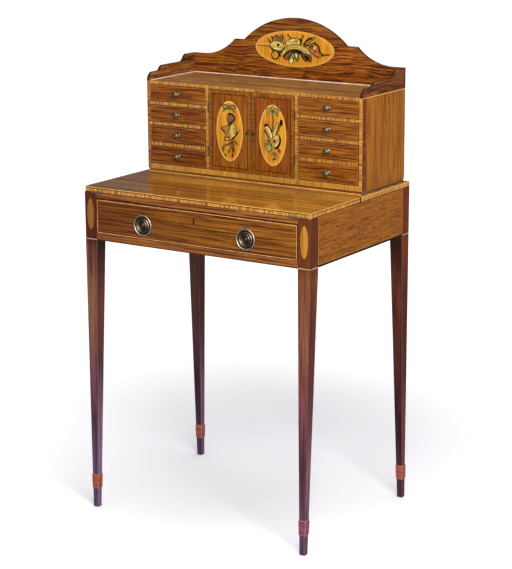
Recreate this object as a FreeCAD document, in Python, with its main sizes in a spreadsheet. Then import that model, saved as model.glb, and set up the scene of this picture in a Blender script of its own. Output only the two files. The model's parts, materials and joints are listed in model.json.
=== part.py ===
"""Bonheur du jour: a small lady's writing table with a folding writing leaf, a frieze drawer and a
raised cabinet of two doors between banks of small drawers, the lowest a deep one that looks like two.

Frame: +Z up, the front faces -Y, the floor is Z = 0 and X = 0 runs through the keyholes.
All sizes are millimetres and live in the sheet called sizes.
"""

import FreeCAD, Part
import math
import os
import re
import Sketcher

doc = FreeCAD.newDocument("bonheur_du_jour")
sheet = doc.addObject("Spreadsheet::Sheet", "sizes")

# name, size, what it measures
SIZES = [
    ("width", 600, "table top, side to side"),
    ("depth", 434, "table top, front to back"),
    ("table_height", 765, "floor to table top"),
    ("top_thickness", 12, "writing leaf and fixed rear top"),
    ("leaf_depth", 212, "front to back of the writing leaf"),
    ("leaf_corner", 6, "rounding of the leaf's front corners"),
    ("seam_gap", 0.4, "joint between leaf and rear top"),
    ("frieze_height", 110, "legs' square head and the aprons"),
    ("leg_width", 32, "square head of a leg"),
    ("foot_width", 13, "square toe of a leg"),
    ("front_foot_inset", 9, "a front toe stands in from the side"),
    ("front_foot_splay", 9, "a front toe stands forward of the frieze"),
    ("back_foot_inset", 4, "a back toe stands in from the side"),
    ("back_foot_splay", 5, "a back toe stands behind the frieze"),
    ("collar_base", 46, "floor to the underside of a collar"),
    ("collar_height", 34.5, "collar, bottom to top"),
    ("collar_head_step", 1.4, "collar stands out of the leg at its top"),
    ("collar_foot_step", 1.1, "collar stands out of the leg at its bottom"),
    ("apron_thickness", 18, "side and back aprons"),
    ("rail_low", 16, "rail under the frieze drawer"),
    ("rail_high", 14.5, "rail over the frieze drawer"),
    ("bed_thickness", 8, "panel under the leaf"),
    ("bed_lap", 24, "bed panel runs back under the rear top"),
    ("runner_height", 14, "runner under a drawer side"),
    ("runner_inside", 14, "runner and kicker reach in past the leg"),
    ("guide_height", 20, "strip beside the drawer"),
    ("stop_width", 30, "drawer stop, along the rail"),
    ("stop_height", 3, "drawer stop, up from the rail"),
    ("stop_length", 9, "drawer stop, front to back"),
    ("stop_place", 150, "drawer stop, from the middle"),
    ("fit_gap", 0.4, "drawer or door, all round"),
    ("drawer_side_gap", 1, "frieze drawer beside the legs"),
    ("drawer_front", 20, "front of the frieze drawer"),
    ("drawer_back_gap", 8, "behind the closed frieze drawer"),
    ("lining", 8, "sides and back of the frieze drawer"),
    ("lining_drop", 5, "linings end below the drawer front's top"),
    ("drawer_base", 5, "bottom board of the frieze drawer"),
    ("drawer_base_lift", 5, "bottom board above the sides' lower edge"),
    ("pull_place", 137, "ring pull, from the middle"),
    ("pull_drop", 7, "ring pull below the middle of the drawer"),
    ("ring_radius", 22.8, "middle line of a pull's ring"),
    ("ring_wire", 1.9, "radius of the ring's wire"),
    ("ring_gap", 0.4, "ring in front of the drawer"),
    ("plate_radius", 20, "back plate of a pull"),
    ("plate_rim", 1.6, "thickness of the plate at its rim"),
    ("plate_boss", 7, "height of the plate's middle"),
    ("eye_half", 3, "half length of a pull's eye"),
    ("eye_wall", 1.7, "metal round the pull's pin"),
    ("pin_radius", 1.5, "pin of a pull's ring"),
    ("pin_gap", 0.1, "running clearance round a pin"),
    ("lock_width", 50, "case of the frieze lock"),
    ("lock_height", 34, "case of the frieze lock"),
    ("lock_depth", 10, "case of the frieze lock"),
    ("bolt_width", 20, "bolt of the frieze lock"),
    ("bolt_height", 20, "bolt of the frieze lock"),
    ("bolt_thickness", 4.4, "bolt of the frieze lock"),
    ("bolt_throw", 6, "how far the frieze bolt rises"),
    ("bolt_gap", 0.3, "clearance round a bolt"),
    ("mortise_gap", 1, "clearance of a bolt's mortise"),
    ("key_round", 2.2, "radius of a keyhole's head"),
    ("key_slot", 2.4, "width of a keyhole's slot"),
    ("key_drop", 10, "keyhole head to the slot's end"),
    ("keyhole_drop", 18, "frieze keyhole's head below the drawer's top"),
    ("leaf_hinge_place", 36, "middle of a leaf hinge, from the table's side"),
    ("leaf_hinge_length", 29, "leaf hinge, along its pin"),
    ("leaf_hinge_plate", 14, "leaf hinge plate, front to back"),
    ("leaf_hinge_thick", 1.6, "leaf hinge plate"),
    ("leaf_barrel", 2.4, "radius of a leaf hinge's knuckles"),
    ("leaf_pin", 1, "radius of a leaf hinge's pin"),
    ("knuckle_gap", 0.25, "between knuckles, and round them in the wood"),
    ("cabinet_inset", 10, "cabinet's side in from the table's side"),
    ("cabinet_setback", 232, "cabinet's front behind the table's front"),
    ("cabinet_depth", 194, "cabinet, front to back"),
    ("plinth_height", 7, "strip that the cabinet stands on"),
    ("plinth_inset", 1.5, "plinth behind the cabinet's face"),
    ("floor_board", 12, "cabinet bottom"),
    ("top_board", 7, "cabinet top"),
    ("side_board", 8, "cabinet sides"),
    ("back_board", 6, "cabinet back"),
    ("partition", 8, "upright beside the doors"),
    ("blade", 7.5, "board between two small drawers"),
    ("small_row", 40.5, "opening of a shallow drawer, and upper half of the deep one's front"),
    ("lowest_row", 44, "lower half of the deep drawer's front"),
    ("banding", 1, "thickness of the mock blade let into the deep drawer's front"),
    ("doors_half", 116.3, "half the width of the doors' opening"),
    ("shelf_board", 6, "shelf behind the doors"),
    ("shelf_back", 5, "shelf's front edge behind the doors"),
    ("small_front", 10, "front of a small drawer"),
    ("small_lining", 5, "sides and back of a small drawer"),
    ("small_base", 3, "bottom of a small drawer"),
    ("small_base_lift", 2, "bottom above the sides' lower edge"),
    ("small_lining_drop", 3, "linings end below the front's top"),
    ("small_back_gap", 2, "behind a closed small drawer"),
    ("knob_radius", 6.8, "head of a drawer knob"),
    ("knob_reach", 14, "drawer knob, out from the drawer"),
    ("door_knob_radius", 3.4, "head of a door knob"),
    ("door_knob_reach", 6.4, "door knob, out from the door"),
    ("door_knob_place", 8, "door knob, from the meeting edge"),
    ("nut_reach", 2.5, "knob's nut behind the board"),
    ("door_thickness", 12, "door board"),
    ("door_gap", 0.5, "round a door"),
    ("meeting_gap", 1, "between the two doors"),
    ("bead_width", 3.2, "closing bead on the right door"),
    ("bead_proud", 1.2, "closing bead in front of the door"),
    ("door_hinge_spread", 100, "between a door's two hinges"),
    ("door_hinge_length", 22, "door hinge, along its pin"),
    ("door_hinge_plate", 10, "door hinge plate, front to back"),
    ("door_hinge_thick", 1.2, "door hinge plate"),
    ("door_barrel", 1.8, "radius of a door hinge's knuckles"),
    ("door_pin", 0.8, "radius of a door hinge's pin"),
    ("door_lock_width", 22, "case of the door lock"),
    ("door_lock_height", 26, "case of the door lock"),
    ("door_lock_depth", 7, "case of the door lock"),
    ("door_bolt_height", 11, "bolt of the door lock"),
    ("door_bolt_length", 12, "bolt of the door lock"),
    ("door_bolt_thickness", 3.4, "bolt of the door lock"),
    ("door_bolt_throw", 5, "how far the door bolt slides"),
    ("door_key_drop", 15, "door keyhole's head below the doors' middle"),
    ("door_key_side", 6, "door keyhole, from the meeting edge"),
    ("gallery_board", 6.5, "gallery and crest"),
    ("gallery_front", 18.5, "gallery height at its front"),
    ("gallery_middle", 30, "gallery height after its first step"),
    ("gallery_back", 46, "gallery height at the back corners"),
    ("gallery_nose", 14, "length of the rounded front end"),
    ("first_step_start", 36, "first step, from the cabinet's front"),
    ("first_step_end", 57, "first step, from the cabinet's front"),
    ("second_step_start", 130, "second step, from the cabinet's front"),
    ("second_step_end", 156, "second step, from the cabinet's front"),
    ("crest_ledge", 85.5, "crest height at the arch's foot"),
    ("crest_top", 143, "crest height at its middle"),
    ("arch_half", 141, "half the span of the arch"),
    ("ledge_half", 168, "half the span over both ledges"),
    ("hollow_half", 259, "half the span over both hollows"),
]

for row, (name, size, note) in enumerate(SIZES, 1):
    sheet.set(f"A{row}", name)
    sheet.set(f"B{row}", str(size))
    sheet.set(f"C{row}", note)
    sheet.setAlias(f"B{row}", name)
doc.recompute()

# Places worked out from the sheet, each a formula in the sheet's names or in an earlier place.
PLACES = {
    "half": "width / 2",
    "frame_top": "table_height - top_thickness",
    "leg_length": "frame_top - frieze_height",
    "collar_foot_share": "1 - collar_base / leg_length",
    "collar_head_share": "1 - (collar_base + collar_height) / leg_length",
    "front_reach": "max(front_foot_splay * collar_foot_share + collar_foot_step;"
                   " front_foot_splay * collar_head_share + collar_head_step; front_foot_splay; plate_boss)",
    "back_reach": "max(back_foot_splay * collar_foot_share + collar_foot_step;"
                  " back_foot_splay * collar_head_share + collar_head_step; back_foot_splay)",
    "front": "(front_reach - back_reach - depth) / 2",
    "back": "front + depth",
    "inner": "half - leg_width",
    "apron_inner": "half - apron_thickness",
    "opening_low": "leg_length + rail_low",
    "opening_high": "frame_top - rail_high",
    "bed_low": "frame_top - bed_thickness",
    "drawer_half": "inner - drawer_side_gap",
    "drawer_low": "opening_low + fit_gap",
    "drawer_high": "opening_high - fit_gap",
    "drawer_end": "back - apron_thickness - drawer_back_gap",
    "pull_height": "(drawer_low + drawer_high) / 2 - pull_drop",
    "ring_front": "front - ring_wire - ring_gap",
    "pin_half": "eye_half + ring_gap + ring_wire",
    "pin_height": "pull_height + sqrt(ring_radius * ring_radius - pin_half * pin_half)",
    "lock_front": "front + drawer_front - lock_depth",
    "lock_low": "drawer_high - lock_height",
    "key_height": "drawer_high - keyhole_drop",
    "bolt_front": "lock_front + (lock_depth - bolt_thickness) / 2",
    "channel_low": "drawer_high - bolt_height - 2 * bolt_gap",
    "cabinet_half": "half - cabinet_inset",
    "cabinet_front": "front + cabinet_setback",
    "cabinet_back": "cabinet_front + cabinet_depth",
    "cabinet_low": "table_height + plinth_height",
    "floor_top": "cabinet_low + floor_board",
    "row_step": "blade + small_row",
    "deep_row": "lowest_row + row_step",
    "ceiling": "floor_top + deep_row + 2 * row_step",
    "cabinet_top": "ceiling + top_board",
    "bank_inner": "doors_half + partition",
    "bank_outer": "cabinet_half - side_board",
    "bank_middle": "(bank_inner + bank_outer) / 2",
    "back_face": "cabinet_back - back_board",
    "small_end": "back_face - small_back_gap",
    "doors_middle": "(floor_top + ceiling) / 2",
    "door_axis": "doors_half - door_gap / 2",
    "door_outer": "doors_half - door_gap",
    "door_low": "floor_top + door_gap",
    "door_high": "ceiling - door_gap",
    "door_key_height": "doors_middle - door_key_drop",
    "meeting": "meeting_gap / 2",
    "door_back": "cabinet_front + door_thickness",
    "door_lock_front": "door_back - door_lock_depth",
    "door_bolt_front": "door_lock_front + (door_lock_depth - door_bolt_thickness) / 2",
    "shelf_front": "door_back + shelf_back",
    "arch_rise": "crest_top - crest_ledge",
    "arch_radius": "(arch_half * arch_half + arch_rise * arch_rise) / (2 * arch_rise)",
    "hollow_rise": "crest_ledge - gallery_back",
    "hollow_run": "hollow_half - ledge_half",
    "hollow_radius": "(hollow_run * hollow_run + hollow_rise * hollow_rise) / (2 * hollow_rise)",
}


def formula(text):
    """The text with each place written out and each size pointing at its cell."""
    known = {name for name, size, note in SIZES}

    def spell(found):
        word = found.group(0)
        if word in PLACES:
            return "(" + formula(PLACES[word]) + ")"
        if word in known:
            return "sizes." + word
        return word

    return re.sub(r"[a-z_]+", spell, str(text))


def number(text):
    """What a formula comes to."""
    return float(sheet.evalExpression(formula(text)))


def bind(thing, prop, text):
    thing.setExpression(prop, formula(text))


def place(thing, x="0", y="0", z="0", turn=None):
    """Puts a thing at a place that follows the sheet, turned by a fixed rotation."""
    if turn is not None:
        thing.Placement = FreeCAD.Placement(FreeCAD.Vector(0, 0, 0), turn)
    for axis, text in zip("xyz", (x, y, z)):
        bind(thing, "Placement.Base." + axis, text)
    return thing


def turned_by(axis, angle):
    return FreeCAD.Rotation(FreeCAD.Vector(*axis), angle)


UPRIGHT = turned_by((1, 0, 0), 90)  # an outline in X and Y stands up in X and Z, its pad runs to -Y
ON_EDGE = turned_by((1, 1, 1), 120)  # an outline in X and Y stands up in Y and Z, its pad runs to +X
FORWARD = turned_by((1, 0, 0), 90)  # a cylinder's axis points to -Y
FACING = turned_by((0, 0, 1), 180)  # a turning's axis, its own Y, points to -Y
ALONG_X = turned_by((0, 1, 0), 90)  # a cylinder's axis points to +X

finished = []


def keep(thing, label):
    """A finished piece: its label names its file."""
    thing.Label = label
    finished.append(thing)
    return thing


def board(x, y, z):
    """A box between pairs of formulas along X, Y and Z."""
    box = doc.addObject("Part::Box", "board")
    for prop, (low, high) in zip(("Length", "Width", "Height"), (x, y, z)):
        bind(box, prop, f"({high}) - ({low})")
    return place(box, x[0], y[0], z[0])


def mirrored(side, low, high):
    """The pair of formulas at that side: side is 1 on the right and -1 on the left."""
    if side > 0:
        return (low, high)
    return (f"-({high})", f"-({low})")


def at_side(side, text):
    return f"{side} * ({text})"


def rod(radius, start, end, turn=None):
    """A cylinder from one point of formulas to another, along X, Y or Z."""
    cylinder = doc.addObject("Part::Cylinder", "rod")
    bind(cylinder, "Radius", radius)
    lengths = [f"({b}) - ({a})" for a, b in zip(start, end)]
    along = [text for text, a, b in zip(lengths, start, end) if a != b][0]
    bind(cylinder, "Height", along)
    return place(cylinder, *start, turn=turn)


def group(things):
    """Separate solids held in one object."""
    compound = doc.addObject("Part::Compound", "group")
    compound.Links = things
    return compound


def joined(things):
    fuse = doc.addObject("Part::MultiFuse", "joined")
    fuse.Shapes = things
    return fuse


def cut(base, tools):
    """The base less each of the tools."""
    result = doc.addObject("Part::Cut", "cut")
    result.Base = base
    result.Tool = tools[0] if len(tools) == 1 else joined(tools)
    return result


def origin_plane(body, role):
    return [plane for plane in body.Origin.OriginFeatures if plane.Role == role][0]


def outlined(body, points):
    """A sketch round the points: each is x, y and the bend of the edge that ends there.

    A bend of "" is a straight edge, and a formula is an arc of that radius, which turns clockwise where
    the formula starts with a minus sign.
    """
    sketch = body.newObject("Sketcher::SketchObject", "outline")
    sketch.AttachmentSupport = [(origin_plane(body, "XY_Plane"), "")]
    sketch.MapMode = "FlatFace"
    corners = [FreeCAD.Vector(number(x), number(y), 0) for x, y, bend in points]
    heads = []
    for index, (x, y, bend) in enumerate(points):
        start = corners[index - 1]
        end = corners[index]
        clockwise = bend.startswith("-")
        heads.append(1 if clockwise else 2)
        if bend:
            sketch.addGeometry(arc_between(start, end, abs(number(bend)), clockwise))
        else:
            sketch.addGeometry(Part.LineSegment(start, end))
    for index, (x, y, bend) in enumerate(points):
        following = (index + 1) % len(points)
        sketch.addConstraint(Sketcher.Constraint("Coincident", index, heads[index],
                                                 following, 3 - heads[following]))
        for kind, value, text in (("DistanceX", corners[index].x, x), ("DistanceY", corners[index].y, y)):
            spot = sketch.addConstraint(Sketcher.Constraint(kind, -1, 1, index, heads[index], value))
            bind(sketch, f"Constraints[{spot}]", text)
        if bend:
            spot = sketch.addConstraint(Sketcher.Constraint("Radius", index, abs(number(bend))))
            bind(sketch, f"Constraints[{spot}]", bend.lstrip("-"))
    return sketch


def arc_between(start, end, radius, clockwise):
    """The shorter arc of that radius from one point to another."""
    chord = end - start
    left = FreeCAD.Vector(-chord.y, chord.x, 0).normalize()
    lift = math.sqrt(radius * radius - chord.Length * chord.Length / 4)
    centre = (start + end) / 2 + left * (-lift if clockwise else lift)
    first, second = (end, start) if clockwise else (start, end)
    angles = [math.atan2(point.y - centre.y, point.x - centre.x) for point in (first, second)]
    return Part.ArcOfCircle(Part.Circle(centre, FreeCAD.Vector(0, 0, 1), radius), *angles)


def padded(points, thickness):
    """A board sawn to an outline."""
    body = doc.addObject("PartDesign::Body", "sawn_board")
    sketch = outlined(body, points)
    pad = body.newObject("PartDesign::Pad", "pad")
    pad.Profile = sketch
    bind(pad, "Length", thickness)
    return body


def turning(points):
    """A piece turned on a lathe: the outline's x is the radius and its y runs along the axis."""
    body = doc.addObject("PartDesign::Body", "turning")
    sketch = outlined(body, points)
    spin = body.newObject("PartDesign::Revolution", "spin")
    spin.Profile = sketch
    spin.ReferenceAxis = (sketch, ["V_Axis"])
    spin.Angle = 360
    return body


# Legs and their collars

def between(low, high, level):
    """A value at a height of the leg, from its foot to its head."""
    return f"(({low}) + (({high}) - ({low})) * ({level}) / leg_length)"


def leg_section(side, end, level, extra="0"):
    """X and Y limits of the tapered shaft at a height. side is 1 on the right, end 1 at the back."""
    which = "back" if end > 0 else "front"
    x_out = between(f"half - {which}_foot_inset", "half", level)
    x_in = between(f"half - {which}_foot_inset - foot_width", "half - leg_width", level)
    y_foot = f"{which}_foot_splay"
    y_out = between(y_foot, "0", level)
    y_in = between(f"{y_foot} - foot_width", "-leg_width", level)
    x = mirrored(side, f"{x_in} - ({extra})", f"{x_out} + ({extra})")
    if end > 0:
        y = (f"back + {y_in} - ({extra})", f"back + {y_out} + ({extra})")
    else:
        y = (f"front - {y_out} - ({extra})", f"front - {y_in} + ({extra})")
    return x, y


def tapered(low, high, foot, head):
    """A four-sided shaft between two levels, from one section to another."""
    wedge = doc.addObject("Part::Wedge", "shaft")
    bind(wedge, "Ymin", low)
    bind(wedge, "Ymax", high)
    for (x, y), mark in ((foot, ""), (head, "2")):
        bind(wedge, f"X{mark}min", x[0])
        bind(wedge, f"X{mark}max", x[1])
        bind(wedge, f"Z{mark}min", f"-({y[1]})")
        bind(wedge, f"Z{mark}max", f"-({y[0]})")
    wedge.Placement = FreeCAD.Placement(FreeCAD.Vector(0, 0, 0), UPRIGHT)
    return wedge


def leaf_hinge_room(side):
    """What a leaf hinge takes out of the wood under the leaf."""
    x = leaf_hinge_span(side)
    plate = board(x, ("front", "front + leaf_hinge_plate"), ("frame_top - leaf_hinge_thick", "frame_top"))
    barrel = rod("leaf_barrel + knuckle_gap", (x[0], "front", "frame_top"), (x[1], "front", "frame_top"),
                 ALONG_X)
    return [plate, barrel]


def leaf_hinge_span(side):
    middle = "half - leaf_hinge_place"
    return mirrored(side, f"{middle} - leaf_hinge_length / 2", f"{middle} + leaf_hinge_length / 2")


def make_leg(side, end):
    shaft = tapered("0", "leg_length", leg_section(side, end, "0"), leg_section(side, end, "leg_length"))
    y = ("back - leg_width", "back") if end > 0 else ("front", "front + leg_width")
    head = board(mirrored(side, "inner", "half"), y, ("leg_length", "frame_top"))
    leg = joined([shaft, head])
    if end < 0:
        leg = cut(leg, leaf_hinge_room(side))
    keep(leg, f"leg_{'back' if end > 0 else 'front'}_{'right' if side > 0 else 'left'}")


def make_collar(side, end):
    """A block collar that wraps the shaft and stands a little out of it."""
    low = "collar_base"
    high = "collar_base + collar_height"
    block = tapered(low, high, leg_section(side, end, low, "collar_foot_step"),
                    leg_section(side, end, high, "collar_head_step"))
    shaft = tapered("0", "leg_length", leg_section(side, end, "0"), leg_section(side, end, "leg_length"))
    return cut(block, [shaft])


CORNERS = [(side, end) for end in (-1, 1) for side in (-1, 1)]
for side, end in CORNERS:
    make_leg(side, end)
keep(group([make_collar(side, end) for side, end in CORNERS]), "leg_collars")

# Frieze: aprons, rails, runners, bed

for side, label in ((-1, "apron_left"), (1, "apron_right")):
    keep(board(mirrored(side, "apron_inner", "half"), ("front + leg_width", "back - leg_width"),
               ("leg_length", "frame_top")), label)
keep(board(("-inner", "inner"), ("back - apron_thickness", "back"), ("leg_length", "frame_top")),
     "apron_back")
keep(board(("-inner", "inner"), ("front", "front + leg_width"), ("leg_length", "opening_low")),
     "drawer_rail_bottom")


def make_top_rail():
    """The rail over the drawer, with the lock bolt's mortise and the leaf hinges' seats."""
    rail = board(("-inner", "inner"), ("front", "front + leg_width"), ("opening_high", "frame_top"))
    grow = "bolt_gap + mortise_gap"
    mortise = board((f"-(bolt_width / 2 + {grow})", f"bolt_width / 2 + {grow}"),
                    ("bolt_front - mortise_gap", "bolt_front + bolt_thickness + mortise_gap"),
                    ("opening_high", "drawer_high + bolt_throw + mortise_gap"))
    keep(cut(rail, [mortise] + leaf_hinge_room(-1) + leaf_hinge_room(1)), "drawer_rail_top")


make_top_rail()


def make_runners():
    """Runner under, guide beside and kicker over each side of the drawer, and two stops on the rail."""
    y = ("front + leg_width", "back - leg_width")
    pieces = []
    for side in (-1, 1):
        reach = mirrored(side, "inner - runner_inside", "apron_inner")
        pieces.append(board(reach, y, ("opening_low - runner_height", "opening_low")))
        pieces.append(board(mirrored(side, "inner", "apron_inner"), y,
                            ("opening_low", "opening_low + guide_height")))
        pieces.append(board(reach, y, ("opening_high", "bed_low")))
        stop = mirrored(side, "stop_place - stop_width / 2", "stop_place + stop_width / 2")
        stop_front = "front + drawer_front + fit_gap"
        pieces.append(board(stop, (stop_front, f"{stop_front} + stop_length"),
                            ("opening_low", "opening_low + stop_height")))
    keep(group(pieces), "drawer_runners")


make_runners()
keep(board(("-apron_inner", "apron_inner"), ("front + leg_width", "front + leaf_depth + bed_lap"),
           ("bed_low", "frame_top")), "bed_panel")
keep(board(("-half", "half"), ("front + leaf_depth + seam_gap", "back"), ("frame_top", "table_height")),
     "rear_top")

# Writing leaf and its hinges

def make_leaf():
    """The folding leaf: rounded front corners, hinge plates let into its underside."""
    corner = "leaf_corner"
    points = [
        (corner, "0", corner),
        (f"width - {corner}", "0", ""),
        ("width", corner, corner),
        ("width", "leaf_depth", ""),
        ("0", "leaf_depth", ""),
        ("0", corner, ""),
    ]
    blank = place(padded(points, "top_thickness"), "-half", "front", "frame_top")
    tools = []
    for side in (-1, 1):
        x = leaf_hinge_span(side)
        tools.append(board(x, ("front", "front + leaf_hinge_plate"),
                           ("frame_top", "frame_top + leaf_hinge_thick")))
        tools.append(rod("leaf_barrel + knuckle_gap", (x[0], "front", "frame_top"),
                         (x[1], "front", "frame_top"), ALONG_X))
    keep(cut(blank, tools), "writing_leaf")


make_leaf()


def make_hinge(low, length, barrel, pin, point, turn, fixed_plate, moving_plate):
    """A butt hinge: the outer knuckles and the pin are on the fixed plate, the middle one moves.

    point gives the place of a value along the pin.
    """
    thirds = [f"{low} + {length} * {share} / 3" for share in range(4)]

    def span(radius, start, end, play="0"):
        return rod(radius, point(f"{start} + {play}"), point(f"{end} - {play}"), turn)

    room = [span(f"{barrel} + knuckle_gap", start, end) for start, end in zip(thirds, thirds[1:])]
    first = span(barrel, thirds[0], thirds[1])
    middle = span(barrel, thirds[1], thirds[2], "knuckle_gap")
    last = span(barrel, thirds[2], thirds[3])
    core = span(pin, thirds[0], thirds[3])
    hole = span(f"{pin} + pin_gap", thirds[0], thirds[3])
    fixed = joined([cut(fixed_plate, [room[1]]), first, last, core])
    moving = cut(joined([cut(moving_plate, [room[0], room[2]]), middle]), [hole])
    return fixed, moving


def make_leaf_hinges():
    fixed, moving = [], []
    for side in (-1, 1):
        x = leaf_hinge_span(side)
        y = ("front", "front + leaf_hinge_plate")
        pair = make_hinge(x[0], "leaf_hinge_length", "leaf_barrel", "leaf_pin",
                          lambda place_x: (place_x, "front", "frame_top"), ALONG_X,
                          board(x, y, ("frame_top - leaf_hinge_thick", "frame_top")),
                          board(x, y, ("frame_top", "frame_top + leaf_hinge_thick")))
        fixed.append(pair[0])
        moving.append(pair[1])
    keep(group(fixed), "leaf_hinge_plates")
    keep(group(moving), "leaf_hinge_straps")


make_leaf_hinges()

# Frieze drawer

def bored(radius, x, z, start, end):
    """A round cutter along Y, from one Y to another."""
    cutter = doc.addObject("Part::Cylinder", "bore")
    bind(cutter, "Radius", radius)
    bind(cutter, "Height", f"({end}) - ({start})")
    return place(cutter, x, end, z, FORWARD)


def keyhole(x, height, start, end):
    """A round head over a straight slot, from one Y to another."""
    head = bored("key_round", x, height, start, end)
    slot = board((f"({x}) - key_slot / 2", f"({x}) + key_slot / 2"), (start, end),
                 (f"({height}) - key_drop", height))
    return [head, slot]


def make_drawer_front():
    face = board(("-drawer_half", "drawer_half"), ("front", "front + drawer_front"),
                 ("drawer_low", "drawer_high"))
    seat = board(("-lock_width / 2", "lock_width / 2"), ("lock_front", "front + drawer_front"),
                 ("lock_low", "drawer_high"))
    keep(cut(face, [seat] + keyhole("0", "key_height", "front", "lock_front")), "frieze_drawer_front")


make_drawer_front()


def make_drawer_linings():
    y = ("front + drawer_front", "drawer_end")
    high = "drawer_high - lining_drop"
    pieces = [board(mirrored(side, "drawer_half - lining", "drawer_half"), y, ("drawer_low", high))
              for side in (-1, 1)]
    inside = ("-(drawer_half - lining)", "drawer_half - lining")
    base_low = "drawer_low + drawer_base_lift"
    base_high = f"{base_low} + drawer_base"
    pieces.append(board(inside, ("drawer_end - lining", "drawer_end"), (base_high, high)))
    keep(group(pieces), "frieze_drawer_linings")
    keep(board(inside, y, (base_low, base_high)), "frieze_drawer_bottom")


make_drawer_linings()


def make_frieze_lock():
    """The case with its bolt's channel, and the bolt that rises into the top rail."""
    case = board(("-lock_width / 2", "lock_width / 2"), ("lock_front", "front + drawer_front"),
                 ("lock_low", "drawer_high"))
    channel = board(("-bolt_width / 2 - bolt_gap", "bolt_width / 2 + bolt_gap"),
                    ("bolt_front - bolt_gap", "bolt_front + bolt_thickness + bolt_gap"),
                    ("channel_low", "drawer_high"))
    keep(cut(case, [channel]), "frieze_lock")
    keep(board(("-bolt_width / 2", "bolt_width / 2"), ("bolt_front", "bolt_front + bolt_thickness"),
               ("channel_low + bolt_gap", "channel_low + bolt_gap + bolt_height")), "frieze_lock_bolt")


make_frieze_lock()

# Ring pulls

# A pull's plate from its rim to its middle: shares of its radius, and of its rim's or boss's height.
PLATE_RIM = [(1, 1), (0.84, 1.6), (0.76, 0.9), (0.62, 1.9), (0.5, 1.2)]
PLATE_BOSS = [(0.36, 0.6), (0.2, 0.92), (0, 1)]


def make_plate(side):
    """A stepped round plate with an eye for the ring's pin at its top."""
    steps = [("0", "0", ""), ("plate_radius", "0", "")]
    steps += [(f"plate_radius * {out}", f"plate_rim * {rise}", "") for out, rise in PLATE_RIM]
    steps += [(f"plate_radius * {out}", f"plate_boss * {rise}", "") for out, rise in PLATE_BOSS]
    x = at_side(side, "pull_place")
    disc = place(turning(steps), x, "front", "pull_height", FACING)
    eye_radius = "pin_radius + pin_gap + eye_wall"
    low = f"{x} - eye_half"
    high = f"{x} + eye_half"
    eye = rod(eye_radius, (low, "ring_front", "pin_height"), (high, "ring_front", "pin_height"), ALONG_X)
    neck = board((f"{x} - eye_half / 2", f"{x} + eye_half / 2"), ("ring_front", "front"),
                 ("pull_height + plate_radius - eye_half", "pin_height"))
    hole = rod("pin_radius + pin_gap", (low, "ring_front", "pin_height"),
               (high, "ring_front", "pin_height"), ALONG_X)
    wood = board((low, high), ("front", "front + ring_radius"),
                 ("pin_height - ring_radius / 2", "pin_height + ring_radius / 2"))
    return cut(joined([disc, cut(eye, [wood]), neck]), [hole])


def make_ring(side):
    """A round ring whose top is a short straight pin between two balls."""
    x = at_side(side, "pull_place")
    ring = doc.addObject("Part::Torus", "ring")
    bind(ring, "Radius1", "ring_radius")
    bind(ring, "Radius2", "ring_wire")
    opening = "asin(pin_half / ring_radius)"
    bind(ring, "Angle3", f"360deg - 2 * {opening}")
    # the sweep starts and ends either side of straight up
    ring.setExpression("Placement.Rotation", formula(
        f"create(<<rotation>>; create(<<vector>>; 1; 0; 0); 90)"
        f" * create(<<rotation>>; create(<<vector>>; 0; 0; 1); 90deg + {opening})"))
    place(ring, x, "ring_front", "pull_height")
    pin = rod("pin_radius", (f"{x} - pin_half", "ring_front", "pin_height"),
              (f"{x} + pin_half", "ring_front", "pin_height"), ALONG_X)
    balls = []
    for way in ("-", "+"):
        ball = doc.addObject("Part::Sphere", "ball")
        bind(ball, "Radius", "ring_wire")
        balls.append(place(ball, f"{x} {way} pin_half", "ring_front", "pin_height"))
    return joined([ring, pin] + balls)


keep(group([make_plate(-1), make_plate(1)]), "pull_plates")
for side, label in ((-1, "pull_ring_left"), (1, "pull_ring_right")):
    keep(make_ring(side), label)

# Cabinet carcass

def row_low(row):
    """Underside of a small drawer's opening: row 1 is the top one and row 3 the deep one."""
    if row == 3:
        return "floor_top"
    return f"floor_top + deep_row + blade + {2 - row} * row_step"


def row_height(row):
    return "deep_row" if row == 3 else "small_row"


ROWS = (1, 2, 3)
SIDES = ((-1, "left"), (1, "right"))

keep(board(("-(cabinet_half - plinth_inset)", "cabinet_half - plinth_inset"),
           ("cabinet_front + plinth_inset", "cabinet_back"), ("table_height", "cabinet_low")),
     "cabinet_plinth")
keep(board(("-bank_outer", "bank_outer"), ("cabinet_front", "back_face"), ("cabinet_low", "floor_top")),
     "cabinet_bottom")
keep(board(("-bank_outer", "bank_outer"), ("cabinet_front", "back_face"), ("ceiling", "cabinet_top")),
     "cabinet_top")
keep(board(("-bank_outer", "bank_outer"), ("back_face", "cabinet_back"), ("cabinet_low", "cabinet_top")),
     "cabinet_back")
keep(group([board(mirrored(side, "bank_outer", "cabinet_half"), ("cabinet_front", "cabinet_back"),
                  ("cabinet_low", "cabinet_top")) for side, name in SIDES]), "cabinet_sides")


def door_hinge_low(level):
    """Underside of a door hinge: level is 1 for the upper and -1 for the lower."""
    return f"doors_middle + {level} * door_hinge_spread / 2 - door_hinge_length / 2"


def door_hinge_room(side, fixed):
    """What a door's two hinges take out of the partition, or out of the door."""
    tools = []
    for level in (-1, 1):
        z = (door_hinge_low(level), f"{door_hinge_low(level)} + door_hinge_length")
        x = ("doors_half", "doors_half + door_hinge_thick")
        if not fixed:
            x = ("door_outer - door_hinge_thick", "door_outer")
        tools.append(board(mirrored(side, *x), ("cabinet_front", "cabinet_front + door_hinge_plate"), z))
        axis = at_side(side, "door_axis")
        tools.append(rod("door_barrel + knuckle_gap", (axis, "cabinet_front", z[0]),
                         (axis, "cabinet_front", z[1])))
    return tools


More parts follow.
